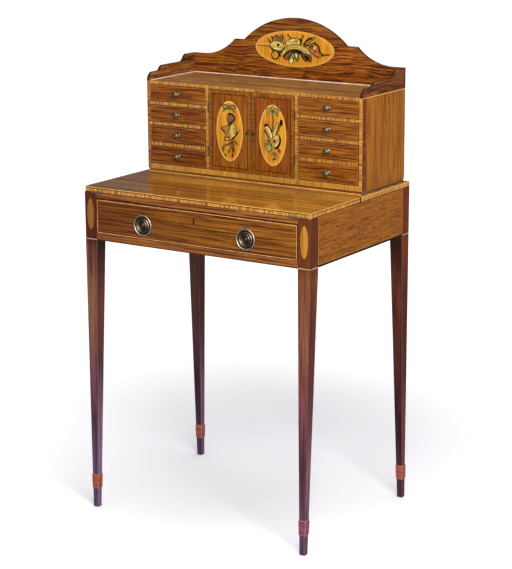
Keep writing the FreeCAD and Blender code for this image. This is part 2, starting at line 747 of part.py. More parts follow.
keep(group([cut(board(mirrored(side, "doors_half", "bank_inner"), ("cabinet_front", "back_face"),
                      ("floor_top", "ceiling")), door_hinge_room(side, True)) for side, name in SIDES]),
     "cabinet_partitions")
keep(group([board(mirrored(side, "bank_inner", "bank_outer"), ("cabinet_front", "back_face"),
                  (f"{row_low(row)} - blade", row_low(row))) for side, name in SIDES for row in ROWS[:2]]),
     "drawer_dividers")
keep(board(("-doors_half", "doors_half"), ("shelf_front", "back_face"),
           ("doors_middle - shelf_board / 2", "doors_middle + shelf_board / 2")), "cabinet_shelf")

# Gallery and crest

def swept_step(start, end, low, high):
    """Two points of an S-shaped step that rises along +X: hollow first, then round."""
    run = f"(({end}) - ({start})) / 2"
    rise = f"(({high}) - ({low})) / 2"
    radius = f"({run} * {run} + {rise} * {rise}) / (2 * {rise})"
    return [(f"({start}) + {run}", f"({low}) + {rise}", radius), (end, high, "-" + radius)]


def make_gallery_sides():
    run = "gallery_nose"
    rise = "gallery_front"
    nose = f"-({run} * {run} + {rise} * {rise}) / (2 * {run})"
    points = [("0", "0", ""), (run, rise, nose), ("first_step_start", rise, "")]
    points += swept_step("first_step_start", "first_step_end", rise, "gallery_middle")
    points += [("second_step_start", "gallery_middle", "")]
    points += swept_step("second_step_start", "second_step_end", "gallery_middle", "gallery_back")
    points += [("cabinet_depth - gallery_board", "gallery_back", ""), ("cabinet_depth - gallery_board", "0", "")]
    pair = []
    for side, name in SIDES:
        x = mirrored(side, "cabinet_half - gallery_board", "cabinet_half")
        pair.append(place(padded(points, "gallery_board"), x[0], "cabinet_front", "cabinet_top", ON_EDGE))
    keep(group(pair), "gallery_sides")


make_gallery_sides()


def make_crest():
    """Gallery back: low ends, a hollow up to a ledge on each side, and a round arch in the middle."""
    points = [
        ("0", "0", ""),
        ("2 * cabinet_half", "0", ""),
        ("2 * cabinet_half", "gallery_back", ""),
        ("cabinet_half + hollow_half", "gallery_back", ""),
        ("cabinet_half + ledge_half", "crest_ledge", "-hollow_radius"),
        ("cabinet_half + arch_half", "crest_ledge", ""),
        ("cabinet_half - arch_half", "crest_ledge", "arch_radius"),
        ("cabinet_half - ledge_half", "crest_ledge", ""),
        ("cabinet_half - hollow_half", "gallery_back", "-hollow_radius"),
        ("0", "gallery_back", ""),
    ]
    keep(place(padded(points, "gallery_board"), "-cabinet_half", "cabinet_back", "cabinet_top", UPRIGHT),
         "gallery_back")


make_crest()

# Knobs

NUT_SHARE = 0.55  # a knob's nut and shank, shares of the head's radius
SHANK_SHARE = 0.25
# A knob in front of its board, from flange over neck to crown: shares of its radius and reach.
KNOB_PROFILE = [(0.78, 0), (0.7, 0.1), (0.36, 0.2), (0.34, 0.42), (0.82, 0.56), (1, 0.72), (0.8, 0.88),
                (0.4, 0.97), (0, 1)]


def knob(radius, reach, thickness, x, z):
    """A turned knob: shank and nut behind the board, flange, neck and domed head in front of it."""
    skin = f"nut_reach + {thickness}"
    nut = f"{radius} * {NUT_SHARE}"
    shank = f"{radius} * {SHANK_SHARE}"
    points = [("0", "0", ""), (nut, "0", ""), (nut, "nut_reach", ""), (shank, "nut_reach", ""),
              (shank, skin, "")]
    points += [(f"{radius} * {out}", f"{skin} + {reach} * {along}", "") for out, along in KNOB_PROFILE]
    return place(turning(points), x, f"cabinet_front + {skin}", z, FACING)


def knob_bore(radius, thickness, x, z):
    """The hole that a knob's shank fits, through a board of that thickness."""
    return bored(f"{radius} * {SHANK_SHARE} + pin_gap", x, z, "cabinet_front", f"cabinet_front + {thickness}")


# Small drawers

def knob_heights(row):
    """A shallow drawer has one knob, and the deep one has a knob on each half of its front."""
    if row < 3:
        return {row: f"{row_low(row)} + small_row / 2"}
    return {3: "floor_top + lowest_row + blade + small_row / 2", 4: "floor_top + lowest_row / 2"}


def make_small_drawer(side, name, row):
    """A veneered front with its knobs, two sides, a back and a bottom."""
    low = f"{row_low(row)} + fit_gap"
    high = f"{row_low(row)} + {row_height(row)} - fit_gap"
    lining_high = f"{high} - small_lining_drop"
    inner = "bank_inner + fit_gap"
    outer = "bank_outer - fit_gap"
    middle = at_side(side, "bank_middle")
    heights = knob_heights(row)
    tools = [knob_bore("knob_radius", "small_front", middle, centre) for centre in heights.values()]
    if row == 3:
        groove = [mirrored(side, inner, outer), ("cabinet_front", "cabinet_front + banding"),
                  ("floor_top + lowest_row", "floor_top + lowest_row + blade")]
        tools.append(board(*groove))
        keep(board(*groove), f"mock_blade_{name}")
    face = cut(board(mirrored(side, inner, outer), ("cabinet_front", "cabinet_front + small_front"),
                     (low, high)), tools)
    y = ("cabinet_front + small_front", "small_end")
    cheeks = [board(mirrored(side, inner, f"{inner} + small_lining"), y, (low, lining_high)),
              board(mirrored(side, f"{outer} - small_lining", outer), y, (low, lining_high))]
    inside = mirrored(side, f"{inner} + small_lining", f"{outer} - small_lining")
    base_low = f"{low} + small_base_lift"
    base_high = f"{base_low} + small_base"
    base = board(inside, y, (base_low, base_high))
    tail = board(inside, ("small_end - small_lining", "small_end"), (base_high, lining_high))
    keep(group([face] + cheeks + [base, tail]), f"small_drawer_{name}_{row}")
    for count, centre in heights.items():
        keep(knob("knob_radius", "knob_reach", "small_front", middle, centre),
             f"drawer_knob_{name}_{count}")


for side, name in SIDES:
    for row in ROWS:
        make_small_drawer(side, name, row)

# Doors, their hinges, knobs and lock

def make_door(side, name):
    """A door board, with its hinges' seats, its knob's bore, and the lock's seat or the bolt's mortise."""
    blank = board(mirrored(side, "meeting", "door_outer"), ("cabinet_front", "door_back"),
                  ("door_low", "door_high"))
    spot = at_side(side, "meeting + door_knob_place")
    tools = door_hinge_room(side, False)
    tools.append(knob_bore("door_knob_radius", "door_thickness", spot, "doors_middle"))
    z = ("door_key_height - door_lock_height / 2", "door_key_height + door_lock_height / 2")
    if side > 0:
        tools.append(board(("meeting", "meeting + door_lock_width"), ("door_lock_front", "door_back"), z))
        tools += keyhole("door_key_side", "door_key_height + key_drop / 2", "cabinet_front",
                         "door_lock_front")
    else:
        grow = "door_bolt_height / 2 + mortise_gap"
        tools.append(board(("-(meeting + door_bolt_throw + mortise_gap)", "-meeting"),
                           ("door_bolt_front - mortise_gap / 2",
                            "door_bolt_front + door_bolt_thickness + mortise_gap / 2"),
                           (f"door_key_height - ({grow})", f"door_key_height + {grow}")))
    keep(cut(blank, tools), f"door_{name}")
    keep(knob("door_knob_radius", "door_knob_reach", "door_thickness", spot, "doors_middle"),
         f"door_knob_{name}")


def make_door_hinges():
    fixed = []
    for side, name in SIDES:
        moving = []
        axis = at_side(side, "door_axis")
        y = ("cabinet_front", "cabinet_front + door_hinge_plate")
        for level in (-1, 1):
            low = door_hinge_low(level)
            z = (low, f"{low} + door_hinge_length")
            pair = make_hinge(low, "door_hinge_length", "door_barrel", "door_pin",
                              lambda height: (axis, "cabinet_front", height), None,
                              board(mirrored(side, "doors_half", "doors_half + door_hinge_thick"), y, z),
                              board(mirrored(side, "door_outer - door_hinge_thick", "door_outer"), y, z))
            fixed.append(pair[0])
            moving.append(pair[1])
        keep(group(moving), f"door_hinge_leaves_{name}")
    keep(group(fixed), "door_hinge_plates")


def make_door_lock():
    """The case let into the right door's back, and the bolt that slides into the left door."""
    z = ("door_key_height - door_lock_height / 2", "door_key_height + door_lock_height / 2")
    case = board(("meeting", "meeting + door_lock_width"), ("door_lock_front", "door_back"), z)
    reach = "door_bolt_height / 2 + bolt_gap"
    channel = board(("meeting", "meeting + door_bolt_length + 2 * bolt_gap"),
                    ("door_bolt_front - bolt_gap", "door_bolt_front + door_bolt_thickness + bolt_gap"),
                    (f"door_key_height - ({reach})", f"door_key_height + {reach}"))
    keep(cut(case, [channel]), "door_lock")
    keep(board(("meeting + bolt_gap", "meeting + bolt_gap + door_bolt_length"),
               ("door_bolt_front", "door_bolt_front + door_bolt_thickness"),
               ("door_key_height - door_bolt_height / 2", "door_key_height + door_bolt_height / 2")),
         "door_lock_bolt")


for side, name in SIDES:
    make_door(side, name)
keep(board(("meeting", "meeting + bead_width"), ("cabinet_front - bead_proud", "cabinet_front"),
           ("door_low", "door_high")), "door_closing_bead")
make_door_hinges()
make_door_lock()

# Check and write

doc.recompute()
faults = [thing.Name for thing in doc.Objects if {"Invalid", "Error"} & set(thing.State)]
for thing in finished:
    shape = getattr(thing, "Shape", None)
    if shape is None or shape.isNull() or not shape.isValid() or not shape.Solids:
        faults.append(thing.Label)
if faults:
    raise SystemExit("broken: " + ", ".join(faults))

os.makedirs("parts", exist_ok=True)
for thing in finished:
    thing.Shape.exportStep(os.path.join("parts", thing.Label + ".step"))
print(len(finished), "pieces written")
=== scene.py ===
import json
import math
import bmesh
import bpy
import numpy as np
from mathutils import Matrix, Vector


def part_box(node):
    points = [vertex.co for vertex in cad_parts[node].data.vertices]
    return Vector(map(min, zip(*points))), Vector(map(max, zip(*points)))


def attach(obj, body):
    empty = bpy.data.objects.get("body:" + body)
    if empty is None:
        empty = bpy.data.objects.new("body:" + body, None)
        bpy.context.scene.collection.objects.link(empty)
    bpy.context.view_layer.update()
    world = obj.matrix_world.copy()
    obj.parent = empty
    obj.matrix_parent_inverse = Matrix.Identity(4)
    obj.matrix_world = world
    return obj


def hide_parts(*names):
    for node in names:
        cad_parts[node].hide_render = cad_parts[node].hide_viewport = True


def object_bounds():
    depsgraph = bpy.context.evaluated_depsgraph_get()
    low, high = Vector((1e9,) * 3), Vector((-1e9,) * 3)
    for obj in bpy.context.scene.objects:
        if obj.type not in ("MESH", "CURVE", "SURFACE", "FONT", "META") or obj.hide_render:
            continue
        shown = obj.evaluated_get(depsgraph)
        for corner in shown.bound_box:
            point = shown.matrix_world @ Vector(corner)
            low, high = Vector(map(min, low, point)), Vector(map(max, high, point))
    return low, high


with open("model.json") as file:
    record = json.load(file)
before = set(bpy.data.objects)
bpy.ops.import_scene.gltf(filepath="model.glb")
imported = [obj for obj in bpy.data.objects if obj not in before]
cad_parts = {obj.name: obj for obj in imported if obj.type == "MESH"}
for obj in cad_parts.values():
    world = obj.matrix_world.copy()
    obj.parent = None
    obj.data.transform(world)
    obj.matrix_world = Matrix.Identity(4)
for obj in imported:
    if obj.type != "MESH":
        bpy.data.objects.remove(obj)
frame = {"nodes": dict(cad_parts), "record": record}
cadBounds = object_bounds()
nodes = frame["nodes"]
bodyOf = {node: body for body, members in frame["record"]["behaviour"]["bodies"].items() for node in members}
mm = 0.001
print("frame loaded,", len(nodes), "nodes")

# the camera has a long lens and looks from the front right, a little from above
camera = {
    "place": (2.299, -3.499, 1.564),
    "yaw": 33.051,
    "pitch": 13.893,
    "roll": -0.297,
    "lens": 118.39,
    "sensor": 36.0,
    "far": 200,
}


def aimCamera(look):
    # the line of sight by yaw and pitch, then the two other axes turned about it by roll
    yaw, pitch, roll = (math.radians(look[key]) for key in ("yaw", "pitch", "roll"))
    ahead = np.array([-math.sin(yaw) * math.cos(pitch), math.cos(yaw) * math.cos(pitch), -math.sin(pitch)])
    right = np.array([math.cos(yaw), math.sin(yaw), 0.0])
    up = np.cross(right, ahead)
    rightRolled = math.cos(roll) * right + math.sin(roll) * up
    upRolled = math.cos(roll) * up - math.sin(roll) * right
    lens = bpy.data.cameras.new("salesroomCamera")
    lens.lens = look["lens"]
    lens.sensor_width = look["sensor"]
    lens.clip_end = look["far"]
    view = bpy.data.objects.new("salesroomCamera", lens)
    turned = np.eye(4)
    turned[:3, :3] = np.column_stack([rightRolled, upRolled, -ahead])
    turned[:3, 3] = look["place"]
    view.matrix_world = Matrix(turned.tolist())
    bpy.context.scene.collection.objects.link(view)
    bpy.context.scene.camera = view


aimCamera(camera)
print("camera placed")


def addNode(tree, kind, sockets=None, **settings):
    # a node with its settings and the plain values of its sockets
    node = tree.nodes.new(kind)
    for key, value in settings.items():
        setattr(node, key, value)
    for key, value in (sockets or {}).items():
        node.inputs[key].default_value = value
    return node


def blankFinish(name, fixed):
    # a new material whose constant sockets are set straight on its shader
    finish = bpy.data.materials.new(name)
    finish.use_nodes = True
    tree = finish.node_tree
    shader = tree.nodes["Principled BSDF"]
    for key, value in fixed.items():
        shader.inputs[key].default_value = value
    return finish, tree, shader


def mixTones(tree, factor, first, second, way="MIX"):
    # a colour mix; each argument is an output, or a plain value
    mix = addNode(tree, "ShaderNodeMix", data_type="RGBA", blend_type=way)
    for spot, value in ((0, factor), (6, first), (7, second)):
        if isinstance(value, bpy.types.NodeSocket):
            tree.links.new(value, mix.inputs[spot])
        else:
            mix.inputs[spot].default_value = (*value, 1) if spot else value
    return mix.outputs[2]


def remapped(tree, value, low, high, outLow=0.0, outHigh=1.0):
    # a value's stretch from low to high spread over another one, and held at its ends
    node = addNode(tree, "ShaderNodeMapRange", {1: low, 2: high, 3: outLow, 4: outHigh})
    tree.links.new(value, node.inputs[0])
    return node.outputs[0]


def reckon(tree, way, first, second):
    # one sum with two numbers, each an output or a plain value
    node = addNode(tree, "ShaderNodeMath", operation=way)
    for spot, value in enumerate((first, second)):
        if isinstance(value, bpy.types.NodeSocket):
            tree.links.new(value, node.inputs[spot])
        else:
            node.inputs[spot].default_value = value
    return node.outputs[0]


# how far each axis of a noise moves with its shift, and the detail of the slow waves that bend the grain
grain = {"start": (1.0, 1.7, 0.6), "waveDetail": 2.0}


def grainNoise(tree, places, axis, along, across, shift, detail=4.0, rough=0.6, twist=0.0):
    # noise stretched along one axis: few cycles a metre along the grain, many across it
    scale = [across] * 3
    scale["xyz".index(axis)] = along
    start = [shift * part for part in grain["start"]]
    stretched = addNode(tree, "ShaderNodeMapping", {"Scale": scale, "Location": start})
    tree.links.new(places, stretched.inputs["Vector"])
    noise = addNode(tree, "ShaderNodeTexNoise",
                    {"Scale": 1.0, "Detail": detail, "Roughness": rough, "Distortion": twist})
    tree.links.new(stretched.outputs[0], noise.inputs["Vector"])
    return noise.outputs["Fac"]


def wavyPlaces(tree, wander, cycles, shift=0.0):
    # object coordinates, pushed about a little so that the grain isn't ruled straight
    coord = addNode(tree, "ShaderNodeTexCoord")
    moved = addNode(tree, "ShaderNodeMapping", {"Location": (shift, shift, shift)})
    tree.links.new(coord.outputs["Object"], moved.inputs["Vector"])
    noise = addNode(tree, "ShaderNodeTexNoise", {"Scale": cycles, "Detail": grain["waveDetail"]})
    tree.links.new(moved.outputs[0], noise.inputs["Vector"])
    centred = addNode(tree, "ShaderNodeVectorMath", {1: (0.5, 0.5, 0.5)}, operation="SUBTRACT")
    tree.links.new(noise.outputs["Color"], centred.inputs[0])
    sized = addNode(tree, "ShaderNodeVectorMath", {"Scale": wander}, operation="SCALE")
    tree.links.new(centred.outputs[0], sized.inputs[0])
    placed = addNode(tree, "ShaderNodeVectorMath", operation="ADD")
    tree.links.new(coord.outputs["Object"], placed.inputs[0])
    tree.links.new(sized.outputs[0], placed.inputs[1])
    return placed.outputs[0]


def ramped(tree, value, stops):
    # a value sorted into colours by stops of place and colour
    ramp = addNode(tree, "ShaderNodeValToRGB")
    marks = ramp.color_ramp.elements
    while len(marks) < len(stops):
        marks.new(0.5)
    for mark, (place, colour) in zip(marks, stops):
        mark.position = place
        mark.color = (*colour, 1)
    tree.links.new(value, ramp.inputs[0])
    return ramp.outputs[0]


def bumped(tree, shader, height, strength, depth):
    # the surface's fine relief
    bump = addNode(tree, "ShaderNodeBump", {"Strength": strength, "Distance": depth})
    tree.links.new(height, bump.inputs["Height"])
    tree.links.new(bump.outputs[0], shader.inputs["Normal"])


# each wood's tones are shares of its ground colour: dark streak, shade and light figure; figure, streak,
# pores and veins are cycles a metre along the grain and across it, with the veins' strength last; share is
# the figure's part beside the streaks, and contrast the stretch of the noise that the tones are spread over
polish = {"pores": (70, 1500), "share": 0.5, "contrast": (0.41, 0.60), "poreDepth": 0.5, "gloss": 0.32,
          "coatIor": 1.5, "shine": 0.14, "sheen": (0.26, 0.40), "tone": (0.90, 1.10)}
woods = {
    "rosewood": {
        "tones": ((0.24, 0.16, 0.20), (0.60, 0.52, 0.54), (1.38, 1.56, 1.42)), "share": 0.65,
        "tone": (0.88, 1.12), "figure": (4.0, 240), "streak": (10, 560), "veins": (5.0, 420, 0.35),
        "wander": 0.005, "waves": 7,
    },
    "doorRosewood": {
        "tones": ((0.46, 0.38, 0.42), (0.76, 0.70, 0.70), (1.20, 1.28, 1.20)), "share": 0.55,
        "contrast": (0.40, 0.61), "figure": (11, 170), "streak": (34, 400), "pores": (90, 1500),
        "veins": (9, 240, 0.08), "wander": 0.010, "waves": 12, "poreDepth": 0.45, "tone": (0.84, 1.14),
    },
    "legRosewood": {
        "tones": ((0.42, 0.34, 0.38), (0.74, 0.68, 0.70), (1.22, 1.30, 1.24)), "share": 0.55,
        "figure": (3.5, 190), "streak": (11, 430), "veins": (5.0, 250, 0.35), "wander": 0.006, "waves": 6,
    },
    "streakedRosewood": {
        "tones": ((0.20, 0.13, 0.18), (0.56, 0.46, 0.50), (1.50, 1.75, 1.55)), "sheen": (0.28, 0.42),
        "figure": (4.5, 250), "streak": (12, 430), "veins": (6.0, 280, 0.45), "wander": 0.008, "waves": 9,
        "tone": (0.86, 1.14),
    },
    "crestRosewood": {
        "tones": ((0.18, 0.11, 0.16), (0.50, 0.42, 0.46), (1.55, 1.85, 1.75)), "share": 0.6,
        "contrast": (0.40, 0.60), "figure": (3.0, 300), "streak": (9, 520), "veins": (3.5, 260, 0.55),
        "wander": 0.020, "waves": 8, "sheen": (0.28, 0.42), "tone": (0.84, 1.14),
    },
    "topRosewood": {
        "tones": ((0.36, 0.28, 0.34), (0.70, 0.63, 0.64), (1.28, 1.40, 1.38)), "share": 0.6,
        "contrast": (0.41, 0.59), "figure": (1.8, 66), "streak": (6, 170), "pores": (60, 700),
        "veins": (2.5, 90, 0.35), "wander": 0.012, "waves": 4, "poreDepth": 0.35, "gloss": 1.0,
        "coatIor": 1.65, "shine": 0.25, "sheen": (0.24, 0.36),
    },
    "goldenRosewood": {
        "tones": ((0.40, 0.33, 0.40), (0.74, 0.68, 0.70), (1.24, 1.34, 1.28)), "contrast": (0.40, 0.61),
        "figure": (3.0, 110), "streak": (10, 330), "pores": (80, 1700), "veins": (3.5, 150, 0.25),
        "wander": 0.012, "waves": 6, "poreDepth": 0.35,
    },
    "flecked": {
        "tones": ((0.38, 0.30, 0.36), (0.74, 0.68, 0.70), (1.26, 1.36, 1.28)), "poreDepth": 0.45,
        "figure": (11, 250), "streak": (60, 640), "pores": (90, 900), "veins": (26, 480, 0.15),
        "wander": 0.004, "waves": 9,
    },
    "crossband": {
        "tones": ((0.30, 0.24, 0.30), (0.68, 0.62, 0.65), (1.35, 1.50, 1.35)), "contrast": (0.34, 0.66),
        "figure": (3, 150), "streak": (8, 420), "pores": (90, 1700), "veins": (5, 210, 0.3), "wander": 0.003,
        "waves": 8, "poreDepth": 0.40, "gloss": 0.5, "shine": 0.25, "sheen": (0.28, 0.42),
        "tone": (0.88, 1.12),
    },
    "satinwood": {
        "tones": ((0.42, 0.30, 0.28), (0.74, 0.64, 0.60), (1.26, 1.44, 1.75)), "share": 0.75,
        "contrast": (0.42, 0.58), "figure": (8, 330), "streak": (20, 700), "pores": (150, 2400),
        "veins": (8, 460, 0.35), "wander": 0.002, "waves": 10, "poreDepth": 0.12, "gloss": 0.5, "shine": 0.25,
        "sheen": (0.26, 0.38), "tone": (0.88, 1.10),
    },
    "ovalSatinwood": {
        "tones": ((0.60, 0.44, 0.42), (0.82, 0.73, 0.68), (1.20, 1.34, 1.45)), "share": 0.55,
        "contrast": (0.38, 0.62), "figure": (5, 190), "streak": (14, 460), "pores": (120, 2000),
        "veins": (6, 260, 0.30), "wander": 0.004, "waves": 8, "poreDepth": 0.12, "gloss": 0.35, "shine": 0.25,
        "sheen": (0.28, 0.40), "tone": (0.86, 1.10),
    },
    "oak": {
        "tones": ((0.45, 0.40, 0.36), (0.76, 0.71, 0.66), (1.21, 1.29, 1.40)), "contrast": (0.32, 0.68),
        "figure": (2.5, 60), "streak": (9, 420), "pores": (45, 1100), "veins": (3, 150, 0.2), "wander": 0.010,
        "waves": 3, "poreDepth": 0.45, "gloss": 0.05, "shine": 0.25, "sheen": (0.48, 0.66),
        "tone": (0.80, 1.12),
    },
}

# linear ground colours of the veneers, by the place each is laid in; the cabinet top's own tone is greyed by a
# painted reflection of the white backdrop, the left stile's is darkened with painted shade, and the front
# right collar's is a painted reflection of the floor
grounds = {
    "frieze": (0.186, 0.061, 0.0034), "rail": (0.194, 0.064, 0.0110), "apron": (0.213, 0.066, 0.0025),
    "drawer": (0.201, 0.060, 0.0043), "door": (0.213, 0.063, 0.0041), "rightDoor": (0.198, 0.050, 0.0032),
    "doorBand": (0.204, 0.065, 0.0020), "crest": (0.195, 0.054, 0.0046),
    "galleryInner": (0.242, 0.074, 0.0164), "galleryOuter": (0.133, 0.034, 0.0020),
    "leafTop": (0.374, 0.156, 0.0178), "cabinetTop": (0.353, 0.205, 0.0670), "side": (0.230, 0.075, 0.0023),
    "sideBand": (0.124, 0.025, 0.0020), "plinth": (0.250, 0.085, 0.0120), "satin": (0.378, 0.160, 0.0198),
    "satinFoot": (0.419, 0.189, 0.0273), "leafEdge": (0.357, 0.165, 0.0250),
    "stileOval": (0.291, 0.118, 0.0101), "oval": (0.482, 0.197, 0.0076), "oak": (0.330, 0.205, 0.100),
    "legFront": (0.165, 0.049, 0.0820), "legSide": (0.161, 0.043, 0.0640), "collar": (0.260, 0.060, 0.0280),
    "collarRed": (0.199, 0.048, 0.0788), "leftStile": (0.270, 0.090, 0.0200), "inner": (0.170, 0.055, 0.014),
    "edge": (0.035, 0.013, 0.007),
}

veneer = {
    # where each layer of noise starts, its detail, its roughness and its twist
    "layers": {"figure": (3.1, 5.0, 0.62, 0.25), "streak": (9.7, 4.0, 0.65), "pores": (5.3, 1.0, 0.5),
               "veins": (7.9, 3.0, 0.55, 0.3), "slow": (2.2, 2.0, 0.5)},
    "slow": (3.0, 6.0),
    # where the four tones sit, and the stretch of its noise in which a vein, a pore or slow shading comes in
    "stops": (0.0, 0.30, 0.58, 1.0), "vein": (0.56, 0.66), "pore": (0.60, 0.74), "middle": (0.3, 0.7),
    "pit": 0.7, "coatRough": 0.08, "ior": 1.45, "relief": 0.4, "bump": (0.25, 0.00012),
}


def woodFinish(name, axis, wood, ground, shift=0.0, lightAndToneZones=None, glow=None, gloss=None, share=1.0):
    # polished veneer: broad figure and fine streaks sorted into four tones, crossed by dark veins and pores,
    # with slow shading; the zone tints along an axis are mostly painted light and shade, and glow is a lighter
    # rim round a centre
    look = {**polish, **woods[wood], "slow": veneer["slow"]}
    finish, tree, shader = blankFinish(name, {
        "Coat Weight": look["gloss"] if gloss is None else gloss, "Coat Roughness": veneer["coatRough"],
        "Coat IOR": look["coatIor"], "IOR": veneer["ior"], "Specular IOR Level": look["shine"]})
    places = wavyPlaces(tree, look["wander"], look["waves"], shift)
    figure, streak, pore, vein, slow = (grainNoise(tree, places, axis, *look[layer][:2], start + shift, *kind)
                                        for layer, (start, *kind) in veneer["layers"].items())
    broad = look["share"]
    blend = reckon(tree, "ADD", reckon(tree, "MULTIPLY", figure, broad),
                   reckon(tree, "MULTIPLY", streak, 1 - broad))
    mean = share * np.array(grounds[ground])
    dark, shade, light = (mean * tone for tone in look["tones"])
    stops = tuple(zip(veneer["stops"], (dark, shade, mean, light)))
    colour = ramped(tree, remapped(tree, blend, *look["contrast"]), stops)
    colour = mixTones(tree, remapped(tree, vein, *veneer["vein"], 0.0, look["veins"][2]), colour, dark)
    toned = addNode(tree, "ShaderNodeVectorMath", operation="SCALE")
    tree.links.new(colour, toned.inputs[0])
    tree.links.new(remapped(tree, slow, *veneer["middle"], *look["tone"]), toned.inputs["Scale"])
    colour = toned.outputs[0]
    if lightAndToneZones:
        colour = mixTones(tree, 1.0, colour, tints(tree, *lightAndToneZones), "MULTIPLY")
    if glow:
        rim = remapped(tree, ovalReach(tree, glow["middle"], glow["halves"]),
                       *glow["edge"], 0.0, glow["strength"])
        colour = mixTones(tree, rim, colour, glow["rim"])
    pits = remapped(tree, pore, *veneer["pore"])
    colour = mixTones(tree, reckon(tree, "MULTIPLY", pits, look["poreDepth"]), colour, dark * veneer["pit"])
    tree.links.new(colour, shader.inputs["Base Color"])
    tree.links.new(remapped(tree, streak, *veneer["middle"], *look["sheen"]), shader.inputs["Roughness"])
    relief = reckon(tree, "SUBTRACT", reckon(tree, "MULTIPLY", streak, veneer["relief"]), pits)
    bumped(tree, shader, relief, *veneer["bump"])
    return finish


def tints(tree, axis, low, high, stops):
    # a row of tints along an axis, between two places in metres
    coord = addNode(tree, "ShaderNodeTexCoord")
    parts = addNode(tree, "ShaderNodeSeparateXYZ")
    tree.links.new(coord.outputs["Object"], parts.inputs[0])
    return ramped(tree, remapped(tree, parts.outputs["xyz".index(axis)], low, high), stops)


def ovalReach(tree, middle, halves):
    # how far out a point is in an ellipse: 0 in the middle, 1 on its outline
    coord = addNode(tree, "ShaderNodeTexCoord")
    sized = addNode(tree, "ShaderNodeMapping", {
        "Scale": [1 / half for half in halves],
        "Location": [-place / half for place, half in zip(middle, halves)]})
    tree.links.new(coord.outputs["Object"], sized.inputs["Vector"])
    reach = addNode(tree, "ShaderNodeVectorMath", operation="LENGTH")
    tree.links.new(sized.outputs[0], reach.inputs[0])
    return reach.outputs["Value"]


# cycles a metre, place, detail and roughness of each noise, and the stretch of it that shows
stringing = {"wander": 0.002, "waves": 20, "patch": (60, 60, 1.3, 3.0), "patchEdge": (0.33, 0.67),
             "grime": (400, 400, 4.4, 2.0), "grimeEdge": (0.55, 0.75), "grimeDepth": 0.35, "grimeTone": 0.5,
             "grimeSpan": (0.3, 0.7), "sheen": (0.3, 0.45), "coatRough": 0.15, "ior": 1.45,
             "bump": (0.15, 0.00008)}


def stringFinish(name, pale, deep, gloss=0.3, shine=0.35):
    # fine stringing: two tones in short lengths, with a little grime
    look = stringing
    finish, tree, shader = blankFinish(name, {"Coat Weight": gloss, "Coat Roughness": look["coatRough"],
                                              "IOR": look["ior"], "Specular IOR Level": shine})
    places = wavyPlaces(tree, look["wander"], look["waves"])
    patch, grime = (grainNoise(tree, places, "z", *look[layer]) for layer in ("patch", "grime"))
    colour = ramped(tree, remapped(tree, patch, *look["patchEdge"]), ((0.0, deep), (1.0, pale)))
    dirt = remapped(tree, grime, *look["grimeEdge"], 0.0, look["grimeDepth"])
    colour = mixTones(tree, dirt, colour, np.array(deep) * look["grimeTone"])
    tree.links.new(colour, shader.inputs["Base Color"])
    tree.links.new(remapped(tree, grime, *look["grimeSpan"], *look["sheen"]), shader.inputs["Roughness"])
    bumped(tree, shader, grime, *look["bump"])
    return finish


oldBrass = {"wander": 0.002, "waves": 30, "cloud": (120, 120, 2.7, 5.0, 0.6), "cloudEdge": (0.35, 0.7),
            "cloudDepth": 0.40, "hollowDepth": 0.95, "speck": (900, 900, 7.1, 3.0, 0.6),
            "speckEdge": (0.58, 0.75), "speckDepth": 0.6, "speckTone": 0.45, "bump": (0.2, 0.00010)}


def brassFinish(name, bright, tarnish, worn):
    # old brass: bright where hands rub it, brown where its recess attribute marks it: in the hollows, and on
    # the back of the ring's wire
    look = oldBrass
    finish, tree, shader = blankFinish(name, {"Metallic": 1.0, "Specular IOR Level": 0.5})
    places = wavyPlaces(tree, look["wander"], look["waves"])
    cloud, speck = (grainNoise(tree, places, "z", *look[layer]) for layer in ("cloud", "speck"))
    hollow = addNode(tree, "ShaderNodeAttribute", attribute_name="recess")
    dull = reckon(tree, "ADD", remapped(tree, cloud, *look["cloudEdge"], 0.0, look["cloudDepth"]),
                  reckon(tree, "MULTIPLY", hollow.outputs["Fac"], look["hollowDepth"]))
    dull = remapped(tree, dull, 0.0, 1.0)
    colour = mixTones(tree, dull, bright, tarnish)
    specks = remapped(tree, speck, *look["speckEdge"], 0.0, look["speckDepth"])
    colour = mixTones(tree, specks, colour, np.array(tarnish) * look["speckTone"])
    tree.links.new(colour, shader.inputs["Base Color"])
    tree.links.new(remapped(tree, dull, 0.0, 1.0, *worn), shader.inputs["Roughness"])
    bumped(tree, shader, speck, *look["bump"])
    return finish
